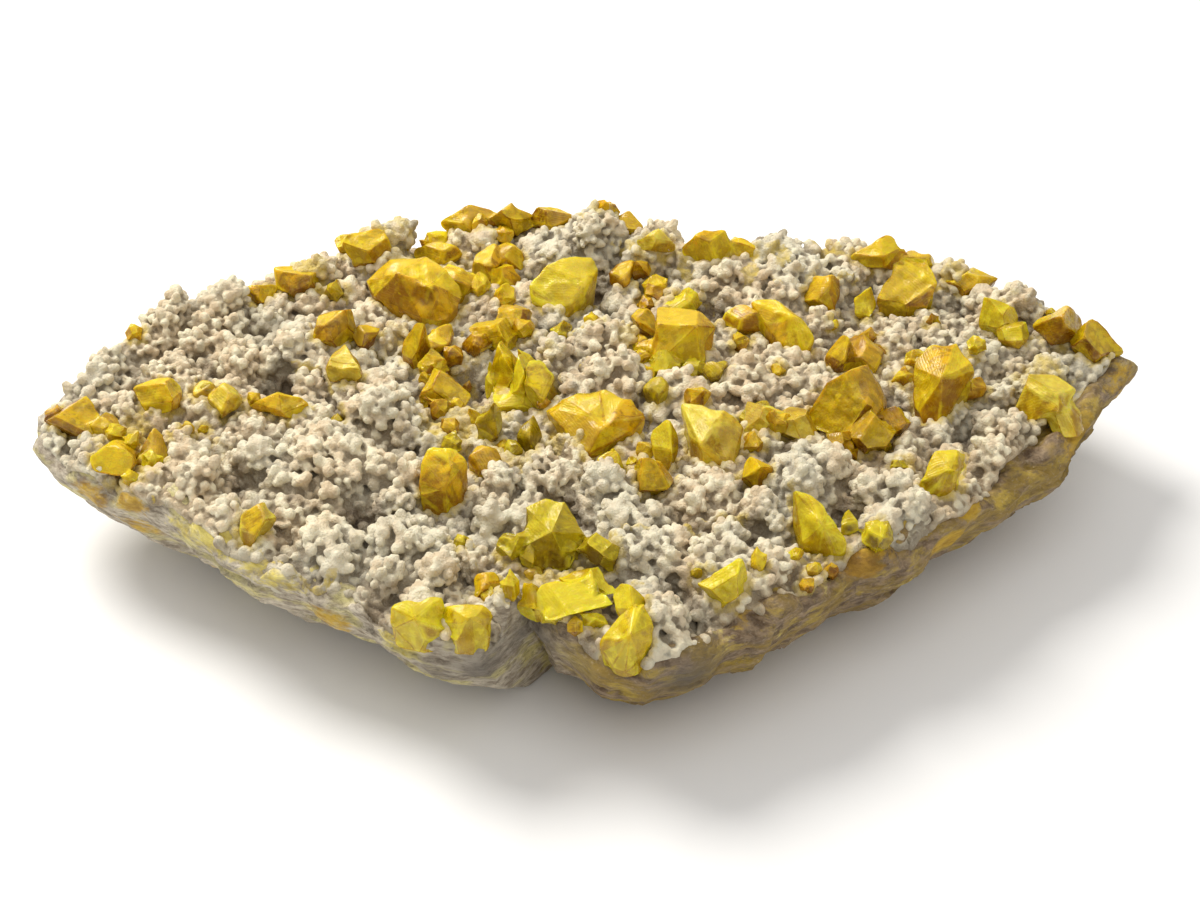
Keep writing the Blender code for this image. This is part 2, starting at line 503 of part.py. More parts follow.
def shaped_planes(shape, foot):
    """The planes of a crystal that is given by its corners."""
    bm = bmesh.new()
    for x, y, z in SHAPES[shape]:
        bm.verts.new((x * MM, y * MM, z * MM))
        bm.verts.new((x * FOOT_SHARE * MM, y * FOOT_SHARE * MM, -foot - MM))
    bmesh.ops.convex_hull(bm, input=bm.verts)
    bmesh.ops.recalc_face_normals(bm, faces=bm.faces)
    bmesh.ops.dissolve_limit(bm, angle_limit=math.radians(4.0), verts=bm.verts, edges=bm.edges)
    normals = np.array([tuple(face.normal) for face in bm.faces])
    distances = np.array([max(face.normal.dot(v.co) for v in face.verts) for face in bm.faces])
    bm.free()
    return normals, distances


def grown_planes(row, seed):
    """The planes of a crystal that is given by its habit and the box that it fills."""
    _, _, _, wide, deep, tall, habit, lean, toward, turn = row
    rng = random.Random(seed)
    normals, kinds = face_normals()
    toward = math.radians(toward)
    lean_axis = Vector((-math.sin(toward), math.cos(toward), 0.0))
    turned = Matrix.Rotation(math.radians(lean), 3, lean_axis) @ Matrix.Rotation(math.radians(turn), 3, "Z")
    normals = normals @ np.array(turned).T
    half = np.array((wide, deep, tall)) * 0.5 * MM
    shares = []
    for kind in kinds:
        share = HABITS[habit][kind] * rng.uniform(*UNEVEN)
        shares.append(share * OUTGROWN_REACH if rng.random() < OUTGROWN else share)
    distances = np.linalg.norm(normals * half, axis=1) * np.array(shares)
    large = large_faces(normals, distances)
    return normals[large], distances[large]


def crystal_object(name, row, foot, seed, swollen):
    """One crystal cut flat at its foot, or its socket's cutter, this much larger all round."""
    x, y = row[:2]
    normals, distances = shaped_planes(row[3], foot) if len(row) == 4 else grown_planes(row, seed)
    normals = np.vstack([normals, (0.0, 0.0, -1.0)])
    distances = np.append(distances + swollen, foot + swollen)
    corners = corners_of(normals, distances)
    bm = bmesh.new()
    for corner in corners:
        bm.verts.new(corner)
    bmesh.ops.convex_hull(bm, input=bm.verts)
    bmesh.ops.dissolve_limit(bm, angle_limit=math.radians(1.0), verts=bm.verts, edges=bm.edges)
    bmesh.ops.recalc_face_normals(bm, faces=bm.faces)
    mesh = bpy.data.meshes.new(name)
    bm.to_mesh(mesh)
    bm.free()
    made = bpy.data.objects.new(name, mesh)
    made.location = (x * MM, y * MM, 0.0)
    bpy.context.scene.collection.objects.link(made)
    return made


def seat_height(row):
    """Mean height of the crust under a crystal."""
    x, y = row[:2]
    wide, deep = (12.0, 9.0) if len(row) == 4 else row[3:5]
    heights = []
    for east in (-0.35, 0.0, 0.35):
        for north in (-0.35, 0.0, 0.35):
            spot = ((x + east * wide) * MM, (y + north * deep) * MM)
            heights.append(top_height(*spot, distance_to_loop(spot, LOOP)))
    return sum(heights) / len(heights)


def grown_together(name, rows, seed, swollen=0.0):
    """The crystals of one solid, joined. Its origin stands under its first crystal."""
    pieces = []
    for number, row in enumerate(rows):
        middle = seat_height(row) + row[2] * MM
        foot = row[2] * MM + SEAT
        piece = crystal_object(f"{name}_{number}", row, foot, seed * 10 + number, swollen)
        piece.location.z = middle
        pieces.append(piece)
    first = pieces[0]
    for other in pieces[1:]:
        join = first.modifiers.new("grown_on", "BOOLEAN")
        join.operation = "UNION"
        join.solver = "EXACT"
        join.object = other
    bm = evaluated_copy(first)
    bmesh.ops.dissolve_limit(bm, angle_limit=math.radians(0.5), verts=bm.verts, edges=bm.edges)
    mesh = bpy.data.meshes.new(name)
    bm.to_mesh(mesh)
    bm.free()
    place = first.location.copy()
    for piece in pieces:
        bpy.data.objects.remove(piece, do_unlink=True)
    made = bpy.data.objects.new(name, mesh)
    made.location = place
    bpy.context.scene.collection.objects.link(made)
    return made


def keep_largest_body(bm):
    """Removes the crumbs that the sockets cut free from the slab."""
    left = set(bm.verts)
    bodies = []
    while left:
        body = [left.pop()]
        for vert in body:
            for edge in vert.link_edges:
                other = edge.other_vert(vert)
                if other in left:
                    left.remove(other)
                    body.append(other)
        bodies.append(body)
    bodies.sort(key=len, reverse=True)
    for body in bodies[1:]:
        bmesh.ops.delete(bm, geom=body, context="VERTS")


def cut_sockets(slab, cutters):
    for cutter in cutters:
        socket = slab.modifiers.new("socket", "BOOLEAN")
        socket.operation = "DIFFERENCE"
        socket.solver = "EXACT"
        socket.object = cutter
    bm = evaluated_copy(slab)
    keep_largest_body(bm)
    slab.modifiers.clear()
    bm.to_mesh(slab.data)
    bm.free()
    for cutter in cutters:
        bpy.data.objects.remove(cutter, do_unlink=True)


# ---------------------------------------------------------------- materials and placing
def material(name, colour, roughness):
    made = bpy.data.materials.new(name)
    made.use_nodes = True
    shader = made.node_tree.nodes["Principled BSDF"]
    shader.inputs["Base Color"].default_value = (*colour, 1.0)
    shader.inputs["Roughness"].default_value = roughness
    shader.inputs["Metallic"].default_value = 0.0
    return made


def box_of(objects):
    bpy.context.view_layer.update()
    corners = [obj.matrix_world @ vert.co for obj in objects for vert in obj.data.vertices]
    low = [min(corner[axis] for corner in corners) for axis in range(3)]
    high = [max(corner[axis] for corner in corners) for axis in range(3)]
    return low, high


remove_everything()
slab = slab_object()
slab.data.materials.append(material("matrix", (0.50, 0.42, 0.33), 0.85))
crystals = []
cutters = []
for number, (name, (colour, rows)) in enumerate(SULFUR.items()):
    crystal = grown_together(name, rows, number)
    crystal.data.materials.append(material(name, *COLOURS[colour]))
    crystals.append(crystal)
    cutters.append(grown_together(name + "_socket", rows, number, SOCKET_GAP))
cut_sockets(slab, cutters)

root = bpy.data.objects.new("root", None)
bpy.context.scene.collection.objects.link(root)
low, high = box_of([slab] + crystals)
root.location = (-0.5 * (low[0] + high[0]), -0.5 * (low[1] + high[1]), -low[2])
for obj in [slab] + crystals:
    obj.parent = root
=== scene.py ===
import json
import math
import random

import bmesh
import bpy
import numpy as np
from mathutils import Matrix, Vector, geometry, kdtree, noise
from mathutils.bvhtree import BVHTree


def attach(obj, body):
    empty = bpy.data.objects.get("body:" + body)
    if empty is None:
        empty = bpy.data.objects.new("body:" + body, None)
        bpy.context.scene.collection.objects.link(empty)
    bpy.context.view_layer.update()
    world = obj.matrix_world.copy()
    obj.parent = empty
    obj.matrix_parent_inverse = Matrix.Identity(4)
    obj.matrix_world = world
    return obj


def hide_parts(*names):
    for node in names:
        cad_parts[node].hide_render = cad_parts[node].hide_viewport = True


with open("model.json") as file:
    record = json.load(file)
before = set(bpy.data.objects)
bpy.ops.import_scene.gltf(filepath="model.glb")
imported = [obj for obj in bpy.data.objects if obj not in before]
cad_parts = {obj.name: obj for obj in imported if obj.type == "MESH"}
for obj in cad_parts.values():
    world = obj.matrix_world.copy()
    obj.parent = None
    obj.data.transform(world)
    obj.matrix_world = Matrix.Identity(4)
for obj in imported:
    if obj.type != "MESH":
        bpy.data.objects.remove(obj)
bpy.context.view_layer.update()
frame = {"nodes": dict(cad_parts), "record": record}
bpy.context.scene.view_settings.view_transform = "Standard"

# ------------------------------------------------------------------ broken limestone slab
# The bed of grey limestone that the crystals grew on, broken off all round and below. Its sides
# show thin beds that flake into ledges, with seams and smears of sulfur along them. The crust
# hides its top, but for a bare shoulder along the two front sides.
MM = 0.001
MIDDLE = Vector((0.53, 1.02, 0.0)) * MM  # the tables are measured from this far off the box's middle
SLAB_TOP = 35.0 * MM
SLAB_OUTLINE = (
    (-140, -9), (-132, -19), (-120, -28), (-106, -35), (-97, -43), (-89, -51), (-79, -58),
    (-67, -63), (-58, -67), (-51, -73), (-45, -79), (-36, -83), (-27, -83), (-21, -77), (-16, -69),
    (-9, -78), (0, -86), (11, -90), (20, -87), (28, -80), (38, -76), (49, -67), (59, -58), (73, -50),
    (84, -39), (94, -30), (105, -21), (114, -14), (121, -3), (129, 12), (139, 26), (132, 32),
    (123, 41), (115, 50), (104, 57), (92, 66), (80, 72), (66, 74), (52, 71), (38, 71), (24, 73),
    (15, 81), (3, 87), (-12, 88), (-28, 86), (-43, 82), (-57, 78), (-70, 71), (-84, 66), (-98, 57),
    (-111, 47), (-118, 36), (-127, 27), (-135, 15), (-141, 4),
)
EDGE_STEP = 2.6 * MM
EDGE_WANDER = 1.3 * MM
EDGE_ROUNDING = 7.0 * MM
EDGE_DROP = 3.5 * MM
REST_SHARE = (0.66, 0.68)
REST_MIDDLE = (4.0 * MM, -6.0 * MM)
SIDE_CURL = 1.7
BED_THICKNESS = 5.5 * MM
BED_DEPTH = 1.8 * MM
SWELL = 3.0 * MM
SWELL_LENGTH = 60.0 * MM
HEAP_SPACING = 12.0 * MM
HEAP_RADIUS = (4.5 * MM, 7.5 * MM)
HEAP_HEIGHT = (1.5 * MM, 4.5 * MM)
KNOBS = (
    (-112, 38, 10, 9), (-117, 28, 7, 5), (-99, 42, 9, 4), (-58, 65, 9, 9), (-78, 26, 9, 5),
    (-90, 18, 8, 4), (-107, 14, 9, 5), (-127, 3, 7, 3), (-53, -2, 11, 8), (-66, -22, 14, 7),
    (-50, -28, 10, 6), (-98, -28, 10, 6), (-89, -42, 8, 6), (-78, -24, 8, 6), (-122, -20, 7, 4),
    (-62, -50, 10, 4), (-44, -55, 12, 5), (-25, -32, 6, 7), (-23, -43, 6, 6), (-12, -26, 8, 6),
    (2, -34, 8, 8), (10, -50, 11, 6), (24, -35, 9, 6), (38, -42, 8, 5), (50, -29, 10, 9),
    (68, -38, 10, 9), (30, -60, 14, 6), (13, -76, 7, 6), (17, -86, 8, 3), (-20, -73, 6, 7),
    (3, 10, 10, 8), (-12, 20, 8, 6), (1, 30, 9, 6), (-2, 74, 10, 11), (14, 70, 9, 10),
    (-14, 68, 9, 7), (36, 56, 11, 7), (50, 59, 10, 8), (46, 46, 9, 5), (65, 61, 8, 7),
    (104, 45, 9, 6), (96, 24, 9, 5), (98, -10, 8, 6), (108, -9, 7, 4), (76, 28, 8, 4),
    (38, 10, 8, 4), (24, 4, 8, 4), (-30, 46, 8, 5), (-88, 6, 7, 3), (52, 12, 8, 4),
    (-34, 74, 9, 6), (112, 14, 8, 4), (-84, 58, 9, 5), (-72, 64, 8, 5), (76, 66, 10, 5),
    (90, 58, 9, 5), (58, 67, 9, 6), (22, 68, 8, 5), (-127, 14, 9, 4), (-136, 1, 6, 3),
    (120, 34, 8, 4), (-104, 30, 9, 4),
)
PITS = (
    (-81, 12, 8, 8), (-56, -40, 8, 7), (26, 42, 8, 9), (-8, 13, 6, 7), (91, -8, 6, 7),
    (74, 5, 7, 6), (-14, -15, 6, 5), (-48, -68, 6, 4), (35, -46, 5, 5), (-9, -38, 7, 6),
    (-2, 56, 7, 7), (-15, -79, 6, 9), (60, -40, 6, 7), (18, -68, 7, 5), (-34, 11, 8, 5),
)
HEAP_WARP = 1.7 * MM  # the heaps' round feet are pulled about this much
SHOULDER_SINK = 1.0 * MM  # the bare rock lies this far under the crusted face at the rim
UNDER_SINK = 4.6 * MM  # and this far under it inside
SIDE_STEP = 1.05 * MM
SHOULDER_STEP = 1.2 * MM
SHOULDER_ROWS = 8
INNER_STEP = 3.2 * MM


def ripple(points, length, shift=0.0):
    """Smooth noise from -1 to 1 at each point, whose bumps are about this long."""
    near = np.asarray(points, float) / length + shift
    if near.shape[1] == 2:
        near = np.column_stack([near, np.full(len(near), shift)])
    return np.fromiter((noise.noise(Vector(p)) for p in near), float, len(near))


def smooth_step(low, high, value):
    share = np.clip((value - low) / (high - low), 0.0, 1.0)
    return share * share * (3.0 - 2.0 * share)


def seeded_heaps():
    """The crust's rounded heaps on a jittered grid, as the solid slab has them."""
    rng = random.Random(11)
    heaps = []
    for row in range(-8, 9):
        for column in range(-12, 13):
            x = (column + 0.5 * (row % 2)) * HEAP_SPACING + rng.uniform(-3.5, 3.5) * MM
            y = row * 0.87 * HEAP_SPACING + rng.uniform(-3.5, 3.5) * MM
            heaps.append((x, y, rng.uniform(*HEAP_RADIUS), rng.uniform(*HEAP_HEIGHT)))
    return np.array(heaps)


def dome_heights(rows, spots):
    """Highest dome of the rows over each spot, 0 outside them all."""
    found = np.zeros(len(spots))
    for start in range(0, len(spots), 4000):
        part = spots[start : start + 4000]
        gap = ((part[:, None, :] - rows[None, :, :2]) ** 2).sum(2) / rows[None, :, 2] ** 2
        found[start : start + 4000] = (rows[:, 3] * np.sqrt(np.clip(1.0 - gap, 0.0, 1.0))).max(1)
    return found


HEAPS = seeded_heaps()
KNOB_ROWS = np.array(KNOBS) * MM
PIT_ROWS = np.array(PITS) * MM


def crust_height(spots):
    """Height of the crusted face over the resting face at each spot."""
    swell = SWELL * ripple(spots, SWELL_LENGTH)
    pulled = spots + HEAP_WARP * np.column_stack(
        [ripple(spots, 8 * MM, 3.1), ripple(spots, 8 * MM, 7.7)]
    )
    heap = dome_heights(HEAPS, pulled)
    knob = dome_heights(KNOB_ROWS, pulled)
    deep = PIT_ROWS.copy()
    deep[:, 3] = np.sqrt(deep[:, 3])
    pit = dome_heights(deep, spots) ** 2
    return SLAB_TOP + swell + np.maximum(heap, knob) + 0.4 * np.minimum(heap, knob) - pit


def edge_points(outline, step, wander):
    """The slab's edge as closely spaced points that wander in and out a little."""
    corners = [Vector(corner) * MM for corner in outline]
    loop = []
    for start, end in zip(corners, corners[1:] + corners[:1]):
        steps = max(1, round((end - start).length / step))
        along = end - start
        outward = Vector((along.y, -along.x)).normalized()
        for number in range(steps):
            point = start + along * (number / steps)
            swing = noise.noise(Vector((point.x, point.y, 0.01)) / (7 * MM))
            loop.append(point + outward * wander * swing)
    return np.array([tuple(point) for point in loop])


def distance_to(spots, loop):
    """How far each spot is from a closed loop of points."""
    along = np.roll(loop, -1, axis=0) - loop
    length = (along**2).sum(1)
    found = np.empty(len(spots))
    for start in range(0, len(spots), 3000):
        part = spots[start : start + 3000]
        away = part[:, None, :] - loop[None]
        share = np.clip((away * along).sum(2) / length, 0.0, 1.0)
        found[start : start + 3000] = np.sqrt(
            ((away - share[:, :, None] * along) ** 2).sum(2).min(1)
        )
    return found


def is_inside(spots, loop):
    """Whether each spot lies inside a closed loop of points."""
    inside = np.zeros(len(spots), bool)
    ends = np.roll(loop, -1, axis=0)
    for (ax, ay), (bx, by) in zip(loop, ends):
        if ay == by:
            continue
        crosses = (spots[:, 1] < ay) != (spots[:, 1] < by)
        reach = ax + (spots[:, 1] - ay) * (bx - ax) / (by - ay)
        inside ^= crosses & (spots[:, 0] < reach)
    return inside


SLAB_LOOP = edge_points(SLAB_OUTLINE, EDGE_STEP, EDGE_WANDER)


def top_height(spots):
    """The crusted face with its edge rolled over, at each spot."""
    gap = distance_to(spots, SLAB_LOOP)
    rolled = np.clip(1.0 - gap / EDGE_ROUNDING, 0.0, 1.0)
    return crust_height(spots) - EDGE_DROP * rolled**2, gap


def mesh_of(name, points, faces):
    """A mesh object from an array of points and one of triangles or quads."""
    points = np.asarray(points, np.float32)
    faces = np.asarray(faces, np.int32)
    sides = faces.shape[1]
    mesh = bpy.data.meshes.new(name)
    mesh.vertices.add(len(points))
    mesh.vertices.foreach_set("co", points.ravel())
    mesh.loops.add(faces.size)
    mesh.loops.foreach_set("vertex_index", faces.ravel())
    mesh.polygons.add(len(faces))
    mesh.polygons.foreach_set("loop_start", np.arange(0, faces.size, sides, dtype=np.int32))
    mesh.update(calc_edges=True)
    made = bpy.data.objects.new(name, mesh)
    bpy.context.scene.collection.objects.link(made)
    return made


def points_of(mesh):
    found = np.empty(len(mesh.vertices) * 3, np.float32)
    mesh.vertices.foreach_get("co", found)
    return found.reshape(-1, 3).astype(float)


def mark(mesh, name, values, domain="POINT"):
    """Keeps a number for each point or corner of the mesh, which the finish reads."""
    kept = mesh.attributes.new(name, "FLOAT", domain)
    kept.data.foreach_set("value", np.asarray(values, np.float32))


def jittered_spots(step, seed, reach=(0.15, 0.10)):
    """Spots about this far apart all over the slab's box."""
    rng = np.random.default_rng(seed)
    columns = np.arange(-reach[0], reach[0], step)
    rows = np.arange(-reach[1], reach[1], step * 0.87)
    x, y = np.meshgrid(columns, rows)
    x = x + 0.5 * step * (np.arange(len(rows)) % 2)[:, None]
    spots = np.column_stack([x.ravel(), y.ravel()])
    return spots + rng.uniform(-0.2, 0.2, spots.shape) * step


def slab_sides(loop, tops):
    """Rows of points down the broken side, from the edge to the resting face."""
    rows = int(round(0.058 / SIDE_STEP))
    shares = (np.arange(1, rows + 1) / rows)[:, None]
    middle = np.array(REST_MIDDLE)
    foot = middle + np.array(REST_SHARE) * (loop - middle)
    height = tops[None, :] * (1.0 - shares)
    drawn = shares**SIDE_CURL
    flat = loop[None] + (foot - loop)[None] * drawn[:, :, None]
    outward = loop - middle
    outward /= np.linalg.norm(outward, axis=1)[:, None]
    spots = np.concatenate([flat, height[:, :, None]], axis=2).reshape(-1, 3)
    turn = np.tile(np.arctan2(loop[:, 1], loop[:, 0]), (rows, 1)).ravel()
    level = spots[:, 2] + 2 * MM * ripple(spots[:, :2], 35 * MM)
    bed = np.floor(level / BED_THICKNESS)
    ledge = ripple(np.column_stack([bed * 7.3, turn * 5.0, np.full(len(bed), 0.5)]), 1.0)
    rough = ripple(spots, 9 * MM)
    share = np.repeat(shares[:, 0], len(loop))
    out = BED_DEPTH * (1.2 * ledge + 0.7 * rough) * np.sin(math.pi * share) ** 0.5
    # Thin wavy beds inside the thick ones, then the crumbly grain of the break.
    wavy = level + 0.9 * MM * ripple(spots, 11 * MM, 4.0) + 0.3 * MM * ripple(spots, 4 * MM, 9.0)
    along = np.column_stack([wavy / (1.25 * MM), turn * 6.0, turn * 0.0 + 2.0])
    leaf = ripple(along, 1.0)
    coarse = ripple(spots, 3.4 * MM, 5.0)
    crumb = ripple(spots, 1.5 * MM, 8.0)
    torn = smooth_step(0.0, 0.5, ripple(spots, 16 * MM, 12.0))
    out += (0.55 * leaf + 0.45 * coarse * torn + 0.22 * crumb) * MM * np.sin(math.pi * share) ** 0.35
    spots[:, :2] += np.tile(outward, (rows, 1)) * out[:, None]
    return spots.reshape(rows, len(loop), 3), leaf, torn


def limestone_slab():
    loop = edge_points(SLAB_OUTLINE, EDGE_STEP, EDGE_WANDER)
    fine = []
    for start, end in zip(loop, np.roll(loop, -1, axis=0)):
        pieces = 3
        fine += [start + (end - start) * k / pieces for k in range(pieces)]
    loop = np.array(fine)
    inward = np.array(REST_MIDDLE) - loop
    inward /= np.linalg.norm(inward, axis=1)[:, None]
    loop = loop + inward * (0.35 * MM * ripple(loop, 2.6 * MM, 2.0))[:, None]
    count = len(loop)
    rings = []
    for row in range(SHOULDER_ROWS, -1, -1):
        ring = loop + inward * row * SHOULDER_STEP
        high, gap = top_height(ring)
        if row == 0:
            gap = gap * 0.0
        sink = SHOULDER_SINK + (UNDER_SINK - SHOULDER_SINK) * smooth_step(3 * MM, 9 * MM, gap)
        grain = 0.35 * ripple(ring, 2.4 * MM, 6.0) + 0.3 * ripple(ring, 5 * MM, 1.0)
        rings.append(np.column_stack([ring, high - sink + grain * MM]))
    inner_loop = rings[0][:, :2]
    spots = jittered_spots(INNER_STEP, 5)
    spots = spots[is_inside(spots, inner_loop)]
    spots = spots[distance_to(spots, inner_loop[::3]) > 0.6 * INNER_STEP]
    ring_edges = [(i, (i + 1) % count) for i in range(count)]
    flat = [Vector(p) for p in inner_loop] + [Vector(p) for p in spots]
    flat, _, filled, _, _, _ = geometry.delaunay_2d_cdt(flat, ring_edges, [], 1, 1e-7)
    inner = np.array([tuple(p) for p in flat])
    high = crust_height(inner) - UNDER_SINK
    inner = np.column_stack([inner, high])
    inner[:count] = rings[0]
    sides, leaf, torn = slab_sides(loop, rings[-1][:, 2])
    points = [inner]
    triangles = [tuple(face) for face in filled]
    start = list(range(count))
    total = len(inner)
    rows = [np.array(start)]
    for ring in rings[1:]:
        points.append(ring)
        rows.append(np.arange(total, total + count))
        total += count
    shown_from = total
    for row in sides:
        points.append(row)
        rows.append(np.arange(total, total + count))
        total += count
    for above, below in zip(rows, rows[1:]):
        after_above = np.roll(above, -1)
        after_below = np.roll(below, -1)
        triangles += list(zip(above, below, after_below))
        triangles += list(zip(above, after_below, after_above))
    foot = sides[-1][:, :2]
    spots = jittered_spots(3.0 * MM, 6)
    spots = spots[is_inside(spots, foot)]
    spots = spots[distance_to(spots, foot[::3]) > 2.0 * MM]
    flat = [Vector(p) for p in foot] + [Vector(p) for p in spots]
    flat, _, filled, _, _, _ = geometry.delaunay_2d_cdt(flat, ring_edges, [], 1, 1e-7)
    under = np.array([tuple(p) for p in flat])
    lift = np.clip(0.3 + 0.9 * ripple(under, 7 * MM) + 0.5 * ripple(under, 3 * MM, 4.0), 0, 1.2) * MM
    lift[:count] = 0.0
    under = np.column_stack([under, lift])
    last = rows[-1]
    points.append(under[count:])
    renumber = np.concatenate([last, np.arange(total, total + len(under) - count)])
    triangles += [tuple(renumber[[c, b, a]]) for a, b, c in filled]
    points = np.concatenate(points)
    slab = mesh_of("limestone_slab", points, triangles)
    bm = bmesh.new()
    bm.from_mesh(slab.data)
    bmesh.ops.recalc_face_normals(bm, faces=bm.faces)
    bm.to_mesh(slab.data)
    bm.free()
    slab.data.shade_smooth()
    everywhere = np.zeros(len(points))
    everywhere[shown_from : shown_from + len(leaf)] = leaf
    mark(slab.data, "leaf", everywhere)
    return slab


# Painted shade on the front flank round the notch and nose: x, y, z and radius in mm. Seams and
# smears of sulfur on the broken rock: x, y, z in mm, half length, half height, which sort (0 lemon,
# 1 amber olive) and how strong.
NOTCH_SHADE_SPOTS = ((20, -86, 27, 8), (25, -79, 35, 2), (-26, -83, 26, 9), (-16, -74, 28, 6), (-38, -83, 20, 8))
SMEARS = (
    (87, -32, 33, 5, 4, 1, 1.0), (82, -38, 27, 7, 4, 1, 1.0), (62, -48, 36, 8, 5, 1, 0.9),
    (55, -54, 35, 5, 3, 2, 0.9), (61, -56, 34, 5, 3, 2, 0.9), (46, -60, 36, 9, 4, 0, 0.8),
    (32, -74, 36, 5, 3, 1, 0.7), (41, -72, 30, 9, 4, 0, 0.6), (27, -79, 33, 6, 4, 0, 0.6),
    (120, -5, 33, 9, 5, 1, 0.8), (133, 20, 32, 8, 5, 1, 0.6), (70, -52, 24, 10, 4, 0, 0.6),
    (-116, -10, 38, 9, 5, 0, 1.0), (-112, -23, 38, 6, 4, 0, 1.0), (-113, -31, 33, 6, 3, 1, 0.9),
    (-89, -48, 36, 14, 3, 0, 0.9), (-76, -56, 33, 12, 3, 0, 0.7), (-97, -42, 33, 10, 3, 0, 0.6),
    (-63, -60, 36, 5, 3, 0, 1.0), (-62, -64, 26, 7, 4, 1, 0.8), (-124, -26, 31, 6, 4, 1, 0.8),
    (-112, -31, 24, 9, 4, 1, 0.7), (-92, -48, 22, 10, 4, 1, 0.5), (-46, -78, 30, 7, 4, 0, 0.7),
)


def add_node(tree, kind, inputs=None, **settings):
    """A node with its settings made and its sockets filled or linked."""
    made = tree.nodes.new(kind)
    for name, value in settings.items():
        setattr(made, name, value)
    for name, value in (inputs or {}).items():
        if isinstance(value, bpy.types.NodeSocket):
            tree.links.new(value, made.inputs[name])
        else:
            made.inputs[name].default_value = value
    return made


def blend_colours(tree, share, first, second):
    """Mixes two colours, each a socket or a plain colour."""
    made = tree.nodes.new("ShaderNodeMix")
    made.data_type = "RGBA"
    for number, value in ((0, share), (6, first), (7, second)):
        if isinstance(value, bpy.types.NodeSocket):
            tree.links.new(value, made.inputs[number])
        elif number == 0:
            made.inputs[0].default_value = value
        else:
            made.inputs[number].default_value = (*value, 1.0)
    return made.outputs[2]


def stretch(tree, value, low, high, to_low=0.0, to_high=1.0):
    """Maps a number from one range to another, held at its ends."""
    made = add_node(
        tree, "ShaderNodeMapRange",
        {"Value": value, "From Min": low, "From Max": high, "To Min": to_low, "To Max": to_high},
    )
    return made.outputs["Result"]


def new_finish(name):
    """An empty node material: the material, its tree and its shader."""
    material = bpy.data.materials.new(name)
    material.use_nodes = True
    shader = material.node_tree.nodes["Principled BSDF"]
    return material, material.node_tree, shader


def grain_of(tree, place, size, detail=2.0, roughness=0.55):
    """Noise whose bumps are about this many metres across."""
    made = add_node(
        tree, "ShaderNodeTexNoise",
        {"Vector": place, "Scale": 1.0 / size, "Detail": detail, "Roughness": roughness},
    )
    return made.outputs["Fac"]


def add_up(tree, first, second, weight=1.0):
    scaled = add_node(tree, "ShaderNodeMath", operation="MULTIPLY_ADD")
    for number, value in enumerate((second, weight, first)):
        if isinstance(value, bpy.types.NodeSocket):
            tree.links.new(value, scaled.inputs[number])
        else:
            scaled.inputs[number].default_value = value
    return scaled.outputs[0]


def read_mark(tree, name):
    return add_node(tree, "ShaderNodeAttribute", attribute_name=name).outputs["Fac"]


def limestone_finish():
    material, tree, shader = new_finish("broken_limestone")
    place = add_node(tree, "ShaderNodeTexCoord").outputs["Object"]
    squashed = add_node(tree, "ShaderNodeMapping", {"Vector": place, "Scale": (1.0, 1.0, 2.1)}).outputs[0]
    beds = grain_of(tree, squashed, 4.2 * MM, 5.0, 0.62)
    broad = grain_of(tree, squashed, 13 * MM, 3.0, 0.6)
    other = grain_of(tree, squashed, 7.5 * MM, 4.0, 0.65)
    speck = grain_of(tree, place, 0.9 * MM, 3.0, 0.7)
    # The east front flank gets darker brown beds and an olive wash: partly painted shade on the side away from the
    # light, partly the rock's own browner colour there.
    east = read_mark(tree, "east")
    pale = blend_colours(tree, stretch(tree, beds, 0.36, 0.62), (0.25, 0.20, 0.14), (0.60, 0.53, 0.41))
    brown_and_shade = blend_colours(tree, stretch(tree, beds, 0.38, 0.62), (0.105, 0.062, 0.030), (0.33, 0.235, 0.14))
    lemon_wash = blend_colours(tree, stretch(tree, broad, 0.50, 0.62, 0.0, 0.6), pale, (0.74, 0.66, 0.22))
    olive_wash = blend_colours(tree, stretch(tree, broad, 0.44, 0.58, 0.0, 0.80), brown_and_shade, (0.30, 0.195, 0.025))
    olive_wash = blend_colours(tree, stretch(tree, other, 0.52, 0.64, 0.0, 0.7), olive_wash, (0.48, 0.34, 0.05))
    rock = blend_colours(tree, east, lemon_wash, olive_wash)
    rock = blend_colours(tree, stretch(tree, speck, 0.55, 0.8, 0.0, 0.35), rock, (0.66, 0.56, 0.42))
    fibres = add_node(tree, "ShaderNodeMapping", {"Vector": place, "Scale": (1.0, 1.0, 3.2)}).outputs[0]
    fibre = grain_of(tree, fibres, 2.4 * MM, 4.0, 0.7)
    rock = blend_colours(tree, stretch(tree, fibre, 0.36, 0.50, 0.55, 0.0), rock, (0.11, 0.08, 0.05))
    ragged = add_up(tree, grain_of(tree, squashed, 3.0 * MM, 4.0, 0.65), -0.5)
    for name, dark, light in (
        ("lemon", (0.50, 0.38, 0.06), (0.78, 0.66, 0.16)),
        ("amber", (0.34, 0.18, 0.008), (0.60, 0.38, 0.025)),
        ("resin", (0.20, 0.10, 0.006), (0.40, 0.22, 0.015)),
    ):
        edge = add_up(tree, read_mark(tree, name), ragged, 1.6)
        sulfur = blend_colours(tree, stretch(tree, beds, 0.35, 0.6), dark, light)
        rock = blend_colours(tree, stretch(tree, edge, 0.40, 0.80, 0.0, 0.9), rock, sulfur)
    # Painted shade in the dark spots on the front flank round the notch.
    rock = blend_colours(tree, read_mark(tree, "dark"), rock, (0.10, 0.085, 0.07))
    tree.links.new(rock, shader.inputs["Base Color"])
    relief = add_up(tree, add_up(tree, beds, speck, 0.45), fibre, 0.8)
    bump = add_node(
        tree, "ShaderNodeBump", {"Height": relief, "Strength": 0.85, "Distance": 0.8 * MM}
    )
    tree.links.new(bump.outputs["Normal"], shader.inputs["Normal"])
    shader.inputs["Roughness"].default_value = 0.78
    return material


